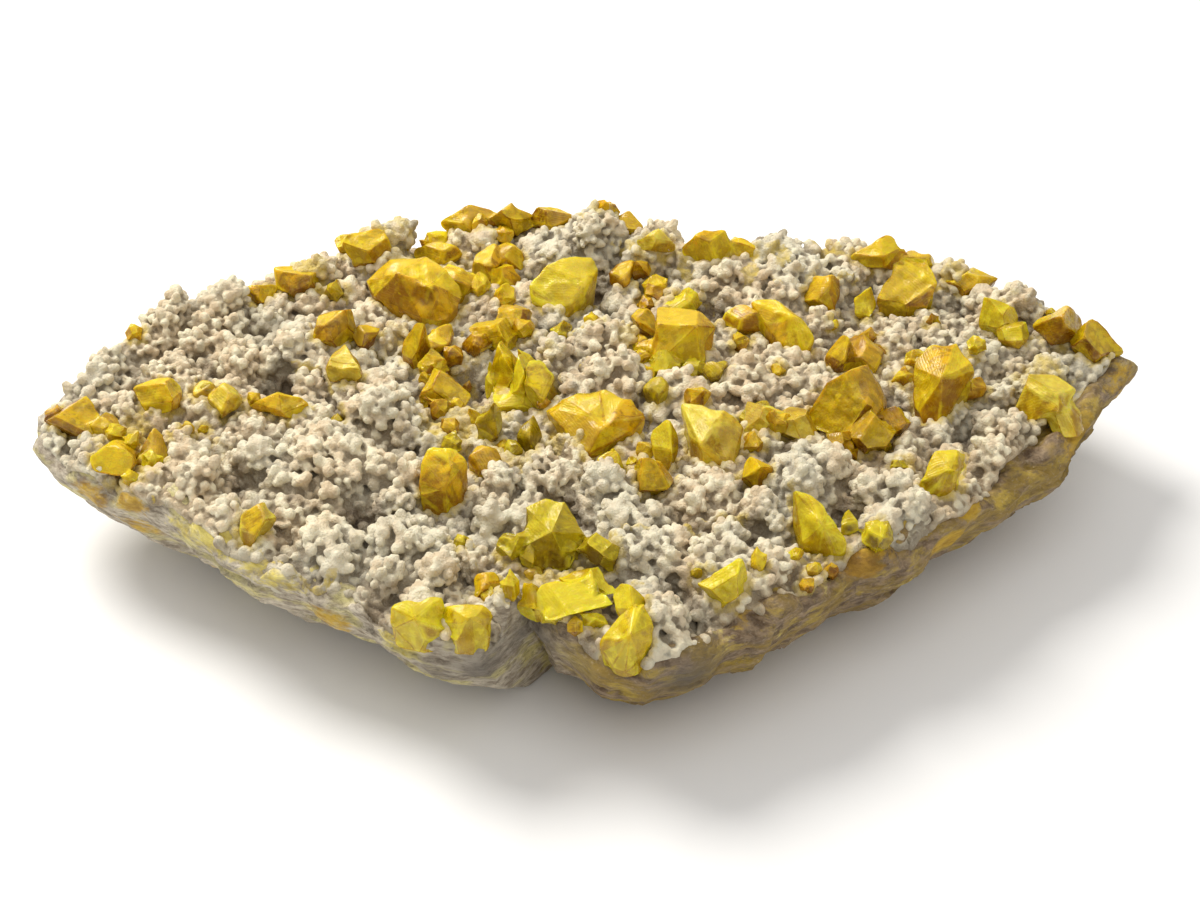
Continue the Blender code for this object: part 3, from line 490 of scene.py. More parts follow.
def mark_smears(mesh):
    points = points_of(mesh)
    sorts = np.zeros((3, len(points)))
    for x, y, z, long, tall, sort, strong in SMEARS:
        away = points - np.array((x, y, z)) * MM
        spread = np.sqrt((away[:, 0] ** 2 + away[:, 1] ** 2) / (long * MM) ** 2 + (away[:, 2] / (tall * MM)) ** 2)
        sorts[sort] = np.maximum(sorts[sort], strong * np.clip(1.5 - spread, 0.0, 1.0))
    # The front flank's east part is marked for browner colour: partly painted shade on the side away from the light,
    # partly the rock's own tone; its lemon smears are weaker there.
    front = smooth_step(35 * MM, -25 * MM, points[:, 1] - 0.25 * points[:, 0])
    east = smooth_step(-22 * MM, 2 * MM, points[:, 0]) * front
    sorts[0] *= 1.0 - 0.4 * east
    for name, values in zip(("lemon", "amber", "resin"), sorts):
        mark(mesh, name, values)
    mark(mesh, "east", east)
    # Painted shade: dark spots on the front flank round the notch, darkest at their middles.
    dark = np.zeros(len(points))
    for x, y, z, radius in NOTCH_SHADE_SPOTS:
        away = np.linalg.norm(points - np.array((x, y, z)) * MM, axis=1) / (radius * MM)
        dark = np.maximum(dark, np.exp(-(away**2)))
    mark(mesh, "dark", 0.8 * dark)


def set_down(obj, *nodes, slot="crusted_limestone"):
    """Moves a finished piece from the tables' middle to the box's, and hands it to the frame."""
    obj.data.transform(Matrix.Translation(MIDDLE))
    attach(obj, "root")
    if nodes:
        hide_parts(*nodes)
    return obj


slab = limestone_slab()
mark_smears(slab.data)
slab.data.materials.append(limestone_finish())
set_down(slab, "matrix")

# ------------------------------------------------------------------ large sulfur crystals
# Blunt dipyramids of native sulfur, 6 to 27 mm, single or grown together. The faces are flat with
# fine growth lines, the thin edges are brightest, and here and there an edge has chipped off.
CHIP_RADIUS = (1.8 * MM, 5.5 * MM)
CHIP_SHARE = 0.45
EDGE_WEAR = 0.20 * MM
FACE_STEP = 0.95 * MM
STEP_WIDTH = 1.5 * MM
STEP_RISE = 0.14 * MM
BROKEN_SHARE = 0.50
BROKEN_DEPTH = 2.5
ROUNDINGS = (0, 1, 1, 2, 3, 5)  # how many times a crystal's edges are rubbed down


def drop_folds(bm):
    """Deletes both faces of every pair that lies back to back, so that no fin stands out."""
    while True:
        same = {}
        for face in bm.faces:
            same.setdefault(frozenset(face.verts), []).append(face)
        folds = [face for faces in same.values() for face in faces[: len(faces) // 2 * 2]]
        if not folds:
            return
        bmesh.ops.delete(bm, geom=folds, context="FACES")


def worn_crystal(name, plain, seed, roundings=ROUNDINGS):
    """A finely divided copy of a plain crystal: edges worn, some chipped, faces stepped or broken."""
    rng = random.Random(seed)
    bm = bmesh.new()
    bm.from_mesh(plain)
    bmesh.ops.remove_doubles(bm, verts=bm.verts, dist=0.01 * MM)
    bmesh.ops.dissolve_limit(bm, angle_limit=math.radians(1.5), verts=bm.verts, edges=bm.edges)
    proud = [e for e in bm.edges if len(e.link_faces) == 2 and e.is_convex]
    scoops = []
    for edge in proud:
        if rng.random() < CHIP_SHARE and edge.calc_length() > 2 * MM:
            share = rng.uniform(0.1, 0.9)
            spot = edge.verts[0].co.lerp(edge.verts[1].co, share)
            out = (edge.link_faces[0].normal + edge.link_faces[1].normal).normalized()
            radius = min(rng.uniform(*CHIP_RADIUS), 0.7 * edge.calc_length())
            scoops.append((spot + out * radius * rng.uniform(0.60, 0.90), out, radius))
    bmesh.ops.bevel(
        bm, geom=proud, offset=EDGE_WEAR, segments=1, affect="EDGES", clamp_overlap=True, profile=0.5
    )
    bm.normal_update()
    layer = bm.faces.layers.int.new("side")
    sides = []
    for number, face in enumerate(bm.faces):
        face[layer] = number
        longest = max(face.edges, key=lambda e: e.calc_length())
        run = (longest.verts[1].co - longest.verts[0].co).normalized()
        across = face.normal.cross(run).normalized()
        borders = [(l.vert.co.copy(), l.link_loop_next.vert.co.copy()) for l in face.loops]
        area = face.calc_area()
        broken = area > 5 * MM * MM and rng.random() < BROKEN_SHARE
        stepped = rng.choice((-1.0, 0.0, 1.0)) * rng.uniform(0.5, 1.0)
        # Faces turned up get a higher tone, which the finish paints paler: painted light on the tops, with a random
        # part that is the face's own.
        tone = 0.6 * max(0.0, face.normal.z) + 0.45 * rng.random()
        sides.append((across, borders, area, broken, stepped, tone, face.normal.copy()))
    bmesh.ops.triangulate(bm, faces=bm.faces)
    for _ in range(6):
        long = [e for e in bm.edges if e.calc_length() > FACE_STEP * 1.4]
        if not long:
            break
        bmesh.ops.subdivide_edges(bm, edges=long, cuts=1)
        bmesh.ops.triangulate(bm, faces=bm.faces)
        drop_folds(bm)
    bm.normal_update()
    bm.verts.index_update()
    points = np.array([tuple(v.co) for v in bm.verts])
    normals = np.array([tuple(v.normal) for v in bm.verts])
    count = len(bm.faces) * 3
    lines, lit_tops_and_tones, rims, breaks = np.empty(count), np.empty(count), np.empty(count), np.empty(count)
    inmost = np.zeros(len(points))
    owner = np.zeros(len(points), int)
    corner = 0
    for face in bm.faces:
        number = face[layer]
        across, borders, area, broken, stepped, tone, _ = sides[number]
        for loop in face.loops:
            co = loop.vert.co
            near = 9.0 * MM
            for start, end in borders:
                along = end - start
                share = max(0.0, min(1.0, (co - start).dot(along) / max(along.length_squared, 1e-12)))
                near = min(near, (co - start - along * share).length)
            lines[corner] = co.dot(across) / MM + number * 3.7
            lit_tops_and_tones[corner] = tone
            rims[corner] = near / MM if area > 2.5e-6 else 0.3
            breaks[corner] = float(broken)
            if near >= inmost[loop.vert.index]:
                inmost[loop.vert.index] = near
                owner[loop.vert.index] = number
            corner += 1
    flat = np.array([tuple(side[6]) for side in sides])[owner]
    is_broken = np.array([side[3] for side in sides], float)[owner]
    step_way = np.array([side[4] for side in sides])[owner]
    level = inmost / STEP_WIDTH + 0.5 * ripple(points, 4 * MM, seed % 11)
    riser = np.floor(level) + smooth_step(0.35, 0.65, level - np.floor(level))
    rise = STEP_RISE * step_way * np.clip(riser, 0, 4)
    shell = 0.42 * np.abs(ripple(points, 3.6 * MM, seed % 7)) + 0.22 * np.abs(ripple(points, 1.7 * MM, seed % 5))
    fade = smooth_step(0.0, 0.9 * MM, inmost)
    points += flat * (rise * (1 - is_broken) * fade - shell * MM * BROKEN_DEPTH * is_broken * fade)[:, None]
    for centre, out, radius in scoops:
        away = points - np.array(centre)
        height = away @ np.array(out)
        aside = away - height[:, None] * np.array(out)
        room = radius**2 - (aside**2).sum(1)
        hit = (room > 0) & (height < 0) & (height**2 < room)
        points[hit] -= np.array(out) * (np.sqrt(room[hit]) + height[hit])[:, None]
    ends = np.array([[v.index for v in e.verts] for e in bm.edges])
    near = np.bincount(ends.ravel(), minlength=len(points)).clip(1)[:, None]
    for _ in range(rng.choice(roundings)):
        total = np.zeros_like(points)
        for axis in range(3):
            total[:, axis] = np.bincount(ends[:, 0], points[ends[:, 1], axis], len(points))
            total[:, axis] += np.bincount(ends[:, 1], points[ends[:, 0], axis], len(points))
        points = 0.45 * points + 0.55 * total / near
    wave = 0.40 * ripple(points, 6.5 * MM, seed % 17) + 0.12 * ripple(points, 2.4 * MM, seed % 13)
    points += normals * (wave * MM)[:, None]
    for vert, point in zip(bm.verts, points):
        vert.co = point
    mesh = bpy.data.meshes.new(name)
    bm.to_mesh(mesh)
    bm.free()
    mesh.update()
    low, high = points[:, 2].min(), points[:, 2].max()
    mark(mesh, "foot", np.clip((high - points[:, 2]) / max(high - low, MM), 0, 1))
    mark(mesh, "lines", lines, "CORNER")
    mark(mesh, "tone", lit_tops_and_tones, "CORNER")
    mark(mesh, "rim", rims, "CORNER")
    mark(mesh, "broken", breaks, "CORNER")
    made = bpy.data.objects.new(name, mesh)
    bpy.context.scene.collection.objects.link(made)
    mesh.shade_smooth()
    mesh.set_sharp_from_angle(angle=math.radians(20))
    return made


# Each sort of sulfur: heart colour (its deep colour, also painted shade at the foot and on faces
# turned sideways or down), body, edge, and dusty colour (frosted tops, also painted light on faces turned up).
SULFUR_COLOURS = {
    "lemon": ((0.42, 0.245, 0.001), (0.78, 0.570, 0.001), (0.90, 0.79, 0.03), (0.86, 0.69, 0.04)),
    "pale": ((0.36, 0.190, 0.002), (0.74, 0.505, 0.010), (0.88, 0.75, 0.08), (0.86, 0.67, 0.15)),
    "gold": ((0.33, 0.145, 0.001), (0.80, 0.475, 0.001), (0.90, 0.72, 0.015), (0.85, 0.61, 0.035)),
    "amber": ((0.21, 0.080, 0.001), (0.72, 0.400, 0.001), (0.88, 0.66, 0.012), (0.81, 0.55, 0.035)),
    "olive": ((0.19, 0.115, 0.001), (0.56, 0.395, 0.001), (0.80, 0.67, 0.020), (0.66, 0.51, 0.035)),
}


def sulfur_finish(sort):
    heart_and_shade, body, edge, dusty_and_lit = SULFUR_COLOURS[sort]
    material, tree, shader = new_finish("sulfur_" + sort)
    place = add_node(tree, "ShaderNodeTexCoord").outputs["Object"]
    cloud = grain_of(tree, place, 6 * MM, 3.0, 0.6)
    vein = grain_of(tree, place, 2.2 * MM, 4.0, 0.6)
    broad = grain_of(tree, place, 12 * MM, 1.0, 0.5)
    tone = read_mark(tree, "tone")
    broken = read_mark(tree, "broken")
    rim = read_mark(tree, "rim")
    # The stone is deepest in colour where it is thick, and darker towards its foot as painted shade.
    cloud_and_foot_shade = add_up(tree, cloud, read_mark(tree, "foot"), -0.28)
    inside = blend_colours(tree, stretch(tree, cloud_and_foot_shade, 0.26, 0.50), heart_and_shade, body)
    clefts = grain_of(tree, add_node(tree, "ShaderNodeMapping", {"Vector": place, "Scale": (1.0, 2.6, 0.5)}).outputs[0], 3.4 * MM, 4.0, 0.65)
    inside = blend_colours(tree, stretch(tree, clefts, 0.48, 0.60, 0.0, 0.8), inside, heart_and_shade)
    # Low tone, on faces turned sideways or down, is painted shade; high tone, on faces turned up, is painted light,
    # with frosting of their own.
    inside = blend_colours(tree, stretch(tree, tone, 0.05, 0.38, 0.75, 0.0), inside, heart_and_shade)
    inside = blend_colours(tree, stretch(tree, tone, 0.56, 1.00, 0.0, 0.75), inside, dusty_and_lit)
    inside = blend_colours(tree, stretch(tree, broken, 0.0, 1.0, 0.0, 0.35), inside, edge)
    flakes = add_node(
        tree, "ShaderNodeMath",
        {0: stretch(tree, grain_of(tree, place, 2.0 * MM, 3.0, 0.6), 0.50, 0.60), 1: stretch(tree, broken, 0.0, 1.0, 0.15, 0.55)},
        operation="MULTIPLY",
    )
    inside = blend_colours(tree, flakes.outputs[0], inside, edge)
    # The thin edge is bright on some edges alone, and its width wanders.
    ragged = add_up(tree, add_up(tree, rim, vein, 2.0), broad, 5.0)
    colour = blend_colours(tree, stretch(tree, ragged, 2.7, 3.7, 0.15, 1.0), edge, inside)
    # Pale lines along a net of cracks inside: partly the cracks' own pale colour, partly painted reflection off
    # them.
    cracks = add_node(
        tree, "ShaderNodeTexVoronoi", {"Vector": place, "Scale": 1 / (5.5 * MM)},
        feature="DISTANCE_TO_EDGE",
    ).outputs["Distance"]
    crack_tint_and_reflection = stretch(tree, add_up(tree, cracks, vein, 0.30), 0.10, 0.15, 0.55, 0.0)
    colour = blend_colours(tree, crack_tint_and_reflection, colour, edge)
    tree.links.new(colour, shader.inputs["Base Color"])
    lines = read_mark(tree, "lines")
    wobble = add_up(tree, lines, vein, 1.2)
    faster = add_node(tree, "ShaderNodeMath", {0: wobble, 1: 9.0}, operation="MULTIPLY")
    stripes = add_node(tree, "ShaderNodeMath", {0: faster.outputs[0]}, operation="SINE")
    height = add_up(tree, vein, stripes.outputs[0], 0.06)
    height = add_up(tree, height, cloud, 0.8)
    frost = grain_of(tree, place, 0.8 * MM, 3.0, 0.7)
    etched = add_node(tree, "ShaderNodeMath", {0: frost, 1: stretch(tree, broken, 0.0, 1.0, 0.25, 0.9)}, operation="MULTIPLY")
    height = add_up(tree, height, etched.outputs[0])
    bump = add_node(tree, "ShaderNodeBump", {"Height": height, "Strength": 0.5, "Distance": 0.5 * MM})
    tree.links.new(bump.outputs["Normal"], shader.inputs["Normal"])
    dull = stretch(tree, vein, 0.3, 0.7, 0.14, 0.32)
    glassy = add_up(tree, dull, broken, -0.10)
    tree.links.new(glassy, shader.inputs["Roughness"])
    shader.inputs["IOR"].default_value = 1.6
    shader.inputs["Subsurface Weight"].default_value = 0.42
    shader.inputs["Subsurface Radius"].default_value = (1.0, 0.60, 0.05)
    shader.inputs["Subsurface Scale"].default_value = 1.6 * MM
    shader.inputs["Transmission Weight"].default_value = 0.18
    shader.inputs["Specular IOR Level"].default_value = 0.26
    return material


SULFUR_FINISH = {sort: sulfur_finish(sort) for sort in SULFUR_COLOURS}
SLOT_OF = {row["node"]: row["material_slot"] for row in frame["record"]["subparts"]}
for number, node in enumerate(sorted(n for n in frame["nodes"] if n != "matrix")):
    sort = SLOT_OF[node].replace("sulfur_", "")
    piece = worn_crystal(node.replace("sulfur_", "") + "_crystals", frame["nodes"][node].data, 100 + number)
    piece.data.materials.append(SULFUR_FINISH[sort])
    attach(piece, "root")
    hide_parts(node)

# ------------------------------------------------------------------ small sulfur crystals
# Loose single crystals, spikes and flakes of sulfur, 3 to 10 mm, that stick out of the crust
# between the large ones. Each is one blunt dipyramid of its own.
SMALL_CRYSTALS = {  # x, y, length, width in mm and, for some, the turn and tilt in degrees
    "gold": (
        (-119, 27, 6, 5), (-36, 4, 6, 4), (10, 27, 8, 6), (70, 24, 9, 7), (-67, 72, 9, 7), (77, 14, 7, 6),
        (-42.6, 15.6, 11, 8), (-54, 72, 11, 8), (-44, 76, 12, 9), (-33, 77, 11, 8), (14.6, 53.4, 11, 8),
        (80.5, 21, 8, 7), (37, -16, 8, 6), (-20, 33, 8, 6), (43, -9, 10, 7), (-25, 46, 9, 6), (-32, 50, 9, 7)),
    "amber": (
        (-39, 18, 6, 2.6), (-34, 16, 6, 2.6), (-2, 33, 6, 5), (12, 48, 7, 5), (12, 15, 6, 4.5),
        (36, 29, 6, 5), (87, 38, 7, 4), (61, -15, 6, 5), (47, -65, 5, 4), (53, -59, 6, 4),
        (-37, -7, 7, 5), (-31, -1, 8, 4), (-24, -13, 6, 4), (-86, 2, 4, 3.5), (-42, 29, 6, 5),
        (-5.5, -79, 5, 4), (-44, 12, 5, 4), (-14, 2, 5, 4), (-37.8, 21, 9, 6), (-43, 7, 7, 5),
        (-39.8, 0.8, 8, 6), (-26, 73, 8, 6), (10.7, 59.6, 8, 6), (69.5, 32, 8, 6), (24, -1, 9, 7),
        (11, 22, 8, 6),
    ),
    "olive": (
        (-10, 34, 9, 6), (-70, 50, 8, 6), (-65, -5, 5, 4), (-32, -53, 5, 4), (28, 14, 6, 4.5),
        (58, -47, 9, 5), (64, -51, 9, 8), (31, -44, 7, 4.5), (22, -64, 4, 3), (72, -22, 10, 4),
        (-98, 5, 5, 4), (-21, -15, 7, 5), (-21, 11, 15, 6, 205, 22), (-15, 7, 14, 6.5, 215, 34),
        (16.6, 18.6, 11, 9), (24, 17, 10, 8), (39, -4, 11, 8), (-36, -13, 8, 6),
        (-16, -57, 9, 7),
    ),
    "lemon": (
        (61, 37, 4, 3.5), (3, -17, 5, 3.5), (8, -20, 4, 3), (70, -12, 5, 4), (45, -56, 6, 3.5),
        (49, -60, 5, 4), (21, -48, 4, 3), (118, 40, 4, 3.5), (-25.5, -69, 9, 4), (-20, -55, 5, 4),
        (-98, -6, 4, 3.5), (-114, -16, 9, 5), (-108, -22, 8, 5), (-118, -12, 7, 5), (-112, -28, 7, 4),
        (36, -64, 7, 3.5), (-45, 45, 6, 4), (-27, 13, 15, 5, 200, 16), (-18, 15, 13, 5, 230, 40),
        (-20, -72, 9, 5), (-1, -77, 10, 5), (96, 22, 7, 5),
    ),
    "pale": ((45, 15, 5, 4), (11, -17, 7, 5), (-101, -8, 6, 4), (-15, -60, 6, 5)),
}
SINK_SHARE = 0.34  # of a small crystal's height, how much is in the crust


def plain_small(bm, rng, x, y, long, wide, turn=None, tilt=None):
    """One blunt crystal, leaning its own way, set into the crusted face."""
    sides = rng.choice((4, 5, 6, 6))
    first = rng.uniform(0, math.tau)
    corners = []
    for number in range(sides):
        way = first + math.tau * (number + rng.uniform(-0.22, 0.22)) / sides
        out = wide / 2 * rng.uniform(0.85, 1.12)
        for level in (-0.16, 0.16):
            corners.append((out * math.cos(way), out * math.sin(way), long * (level + rng.uniform(-0.07, 0.07))))
    for end in (-1, 1):
        for _ in range(2):
            swing = wide * 0.16
            corners.append((rng.uniform(-swing, swing), rng.uniform(-swing, swing), end * long * rng.uniform(0.40, 0.5)))
    turn = rng.uniform(0, 360) if turn is None else turn
    tilt = rng.uniform(5, 58) if tilt is None else tilt
    lean = Matrix.Rotation(math.radians(turn), 4, "Z") @ Matrix.Rotation(math.radians(tilt), 4, "X")
    placed = [lean @ (Vector(c) * MM) for c in corners]
    low, high = min(p.z for p in placed), max(p.z for p in placed)
    ground = float(top_height(np.array([(x * MM, y * MM)]))[0][0])
    shift = Vector((x * MM, y * MM, ground - low - SINK_SHARE * (high - low)))
    verts = [bm.verts.new(p + shift) for p in placed]
    made = bmesh.ops.convex_hull(bm, input=verts, use_existing_faces=False)
    inner = [v for v in made["geom_interior"] if isinstance(v, bmesh.types.BMVert)]
    bmesh.ops.delete(bm, geom=inner, context="VERTS")


SMALL_PLAIN = []
for number, (sort, rows) in enumerate(SMALL_CRYSTALS.items()):
    rng = random.Random(60 + number)
    bm = bmesh.new()
    for row in rows:
        plain_small(bm, rng, *row)
    bmesh.ops.recalc_face_normals(bm, faces=bm.faces)
    plain = bpy.data.meshes.new("plain_small_" + sort)
    bm.to_mesh(plain)
    bm.free()
    SMALL_PLAIN.append(plain)
    piece = worn_crystal("small_" + sort + "_crystals", plain, 70 + number, (0, 1))
    piece.data.materials.append(SULFUR_FINISH[sort])
    set_down(piece, slot="sulfur_" + sort)

# ------------------------------------------------------------------ nodular crust
# A crust of aragonite some 4 mm thick over the whole top, of fused beads 1.5 to 3 mm across that
# stack up into stubby fingers on the heaps and creep over the crystals' feet. It is made in five
# stretches along the slab, each one skin.
CRUST_EDGE = (
    (-138, -6), (-133, -15), (-126, -21), (-119, -26), (-111, -31), (-104, -34), (-98, -39),
    (-92, -45), (-86, -51), (-78, -56), (-68, -60), (-58, -65), (-51, -71), (-45, -77), (-36, -81),
    (-27, -81), (-21, -76), (-16, -67), (-9, -76), (0, -84), (9, -88), (17, -87), (24, -80),
    (29, -74), (38, -70), (47, -66), (53, -58), (58, -53), (72, -46.5), (82, -39), (92, -27),
    (103, -13), (114, 3), (124, 14), (133, 27), (130, 31), (122, 39), (114, 48), (103, 55), (91, 64),
    (80, 70), (66, 72), (52, 70), (38, 70), (24, 72), (15, 79), (3, 85), (-12, 86), (-28, 84),
    (-43, 80), (-57, 76), (-70, 70), (-84, 64), (-98, 55), (-110, 45), (-117, 35), (-126, 26),
    (-133, 14), (-139, 4),
)
BARE = ((-114, -18, 8), (-108, -8, 5), (84, -22, 6), (118, 8, 9))  # patches with no crust: x, y, radius
CRUST_THICKNESS = 6.0 * MM
SHEET_SINK = (0.5 * MM, 3.0 * MM)  # the sheet under the lumps lies this far down: near crystals, far off
LUMP_RADIUS = (1.7 * MM, 4.6 * MM)
LUMP_RISE = (0.08, 0.52)  # of its radius, how far a lump stands over the solid's face: near, far off
LUMP_SPACING = 0.88
LUMP_TRIES = 9000
BACK_LUMPS = (  # the tall ones along the back edge: x, y, radius, rise
    (-102, 43, 5.0, 4.5), (-97, 45, 4.2, 6.5), (-79, 57, 4.2, 4.5), (-74, 59, 4.4, 6.0),
    (-59, 68, 4.6, 4.8), (-54, 70, 4.2, 6.8), (44, 65, 4.0, 5.5), (49, 66, 4.5, 4.0), (66, 67, 5.0, 4.2),
    (94, 57, 5.0, 4.2), (110, 44, 4.6, 4.0), (114, 42, 4.0, 5.2),
)
BEAD_RADII = ((1.30 * MM, 1.65 * MM), (1.05 * MM, 1.30 * MM), (0.82 * MM, 1.05 * MM), (0.62 * MM, 0.78 * MM))
BEAD_TRIES = (40000, 70000, 100000, 110000)
BEAD_SPACING = 0.88  # of two beads' radii, the least that their middles are apart
STRETCHES = (-86, -30, 22, 72)  # where one stretch of crust meets the next, in mm along the slab
VOXEL = 0.35 * MM
TRIANGLES_EACH = 124000
CREEP = 0.30  # how much of a bead may lie in a crystal
BUD_SHARE = 0.20
LUMP_WARP = (1.5 * MM, 7.0 * MM)
BEAD_WARP = (0.30 * MM, 2.6 * MM)
STAINS = (  # where sulfur shows through the crust: x, y, radius, strength
    (-37, -6, 8, 0.9), (-28, 2, 9, 0.7), (-24, -13, 6, 0.8), (-19, -19, 5, 0.8), (-13, -9, 5, 0.7),
    (-116, -10, 8, 1.0), (-112, -23, 7, 1.0), (-96, -14, 5, 0.6), (10, 27, 6, 0.8), (-45, 60, 14, 0.7),
    (-22, 36, 8, 0.6), (-14, 20, 5, 0.5), (60, -2, 12, 0.6), (112, 12, 10, 0.8), (-60, 30, 8, 0.6),
    (-8, -62, 10, 0.8), (-50, 30, 8, 0.6), (118, 30, 8, 0.6), (20, 84, 8, 0.6),
)

GRID_STEP = 0.5 * MM
GRID_X = np.arange(-0.150, 0.1501, GRID_STEP)
GRID_Y = np.arange(-0.100, 0.1001, GRID_STEP)
x, y = np.meshgrid(GRID_X, GRID_Y)
GRID_SPOTS = np.column_stack([x.ravel(), y.ravel()])


def blurred(grid, reach):
    """Mean of the grid over a square window."""
    size = 2 * reach + 1
    for _ in range(2):
        padded = np.pad(grid, reach, mode="edge")
        total = np.cumsum(np.cumsum(np.pad(padded, ((1, 0), (1, 0))), axis=0), axis=1)
        grid = (
            total[size:, size:] - total[:-size, size:] - total[size:, :-size] + total[:-size, :-size]
        ) / size**2
    return grid


def sample(grid, spots):
    """The grid's value at each spot."""
    column = np.clip((spots[:, 0] - GRID_X[0]) / GRID_STEP, 0, len(GRID_X) - 1.001)
    row = np.clip((spots[:, 1] - GRID_Y[0]) / GRID_STEP, 0, len(GRID_Y) - 1.001)
    left, low = column.astype(int), row.astype(int)
    across, up = column - left, row - low
    lower = grid[low, left] * (1 - across) + grid[low, left + 1] * across
    upper = grid[low + 1, left] * (1 - across) + grid[low + 1, left + 1] * across
    return lower * (1 - up) + upper * up


def crystal_tree():
    """All the solid crystals as one tree that gives the nearest face to a point."""
    points, faces = [], []
    for name, obj in frame["nodes"].items():
        if name == "matrix":
            continue
        start = len(points)
        points += [v.co - MIDDLE for v in obj.data.vertices]
        faces += [[start + i for i in p.vertices] for p in obj.data.polygons]
    for plain in SMALL_PLAIN:
        start = len(points)
        points += [v.co.copy() for v in plain.vertices]
        faces += [[start + i for i in p.vertices] for p in plain.polygons]
    return BVHTree.FromPolygons(points, faces)


CRYSTALS = crystal_tree()


def outside_crystals(point):
    """How far a point is outside the nearest crystal, negative inside it."""
    foot, normal, _, gap = CRYSTALS.find_nearest(Vector(point))
    return gap if (Vector(point) - foot).dot(normal) > 0 else -gap


face, rim_gap = top_height(GRID_SPOTS)
crystal_gap = np.array([outside_crystals(p) for p in np.column_stack([GRID_SPOTS, face])])
FACE_GRID = face.reshape(x.shape)
CRYSTAL_GAP = crystal_gap.reshape(x.shape)
RIM_GAP = rim_gap.reshape(x.shape)
NEAR_MEAN = blurred(FACE_GRID, 8)
WIDE_MEAN = blurred(FACE_GRID, 24)
open_ground = smooth_step(0.8 * MM, 4.5 * MM, np.minimum(CRYSTAL_GAP, RIM_GAP - 1.5 * MM))
SHEET_GRID = FACE_GRID - SHEET_SINK[0] - (SHEET_SINK[1] - SHEET_SINK[0]) * open_ground
SLOPE_Y, SLOPE_X = np.gradient(blurred(FACE_GRID, 2), GRID_STEP)
CRUST_LOOP = edge_points(CRUST_EDGE, 1.3 * MM, 0.8 * MM)


def face_normal(spots):
    slope = np.column_stack([-sample(SLOPE_X, spots), -sample(SLOPE_Y, spots), np.ones(len(spots))])
    return slope / np.linalg.norm(slope, axis=1)[:, None]


def off_bare(spots):
    """Leaves out the spots that lie on bare patches."""
    for x, y, radius in BARE:
        gap = np.hypot(spots[:, 0] - x * MM, spots[:, 1] - y * MM)
        spots = spots[gap > radius * MM * (1.0 + 0.35 * ripple(spots, 4 * MM, 2.5))]
    return spots


def crust_lumps():
    """The lumps that the beads have grown over: middle, radius and outward direction of each."""
    rng = np.random.default_rng(17)
    spots = rng.uniform((-0.145, -0.096), (0.145, 0.096), (LUMP_TRIES, 2))
    spots = off_bare(spots[is_inside(spots, CRUST_LOOP)])
    share = np.sort(rng.random(len(spots)) ** 1.6)[::-1]
    radii = LUMP_RADIUS[0] + (LUMP_RADIUS[1] - LUMP_RADIUS[0]) * share
    kept, outs = np.empty((0, 4)), []
    far = smooth_step(0.5 * MM, 6 * MM, sample(CRYSTAL_GAP, spots))
    far *= 0.25 + smooth_step(-2.5 * MM, 2.5 * MM, sample(FACE_GRID, spots) - sample(WIDE_MEAN, spots))
    edge = distance_to(spots, CRUST_LOOP)
    rise = radii * (LUMP_RISE[0] + (LUMP_RISE[1] - LUMP_RISE[0]) * far) * rng.uniform(0.6, 1.3, len(spots))
    rise = np.where(edge < 3 * MM, 0.0, rise)
    normals = face_normal(spots)
    middles = np.column_stack([spots, sample(FACE_GRID, spots)]) + normals * (rise - radii)[:, None]
    for x, y, radius, lift in BACK_LUMPS:
        level = sample(FACE_GRID, np.array([(x * MM, y * MM)]))[0]
        kept = np.vstack([kept, (x * MM, y * MM, level + (lift - radius) * MM, radius * MM)])
        outs.append(np.array((0.0, 0.0, 1.0)))
    for middle, radius, normal, share, gap in zip(middles, radii, normals, far, edge):
        clear = np.linalg.norm(kept[:, :3] - middle, axis=1) > LUMP_SPACING * (kept[:, 3] + radius)
        if clear.all() and gap > 0.5 * radius and outside_crystals(middle) > -0.5 * radius:
            kept = np.vstack([kept, (*middle, radius)])
            outs.append(normal)
    return kept, np.array(outs)


def bead_spots(lumps, outs, tries, size, rng):
    """Places for beads of about one size, on the lumps and on the sheet between them."""
    share = lumps[:, 3] ** 2
    picked = rng.choice(len(lumps), int(tries * 0.72), p=share / share.sum())
    way = rng.normal(size=(len(picked), 3))
    way /= np.linalg.norm(way, axis=1)[:, None]
    facing = (way * outs[picked]).sum(1)
    way, picked = way[facing > -0.35], picked[facing > -0.35]
    on_lumps = lumps[picked, :3] + way * (lumps[picked, 3] - 0.05 * size)[:, None]
    flat = rng.uniform((-0.142, -0.093), (0.142, 0.093), (tries - int(tries * 0.72), 2))
    flat = off_bare(flat[is_inside(flat, CRUST_LOOP)])
    on_sheet = np.column_stack([flat, sample(SHEET_GRID, flat)])
    spots = np.concatenate([on_lumps, on_sheet])
    leans = np.concatenate([way, face_normal(flat)])
    order = rng.permutation(len(spots))
    spots, leans = spots[order], leans[order]
    seen = is_inside(spots[:, :2], CRUST_LOOP) & (spots[:, 2] > sample(SHEET_GRID, spots[:, :2]) - 0.3 * size)
    return spots[seen], leans[seen]


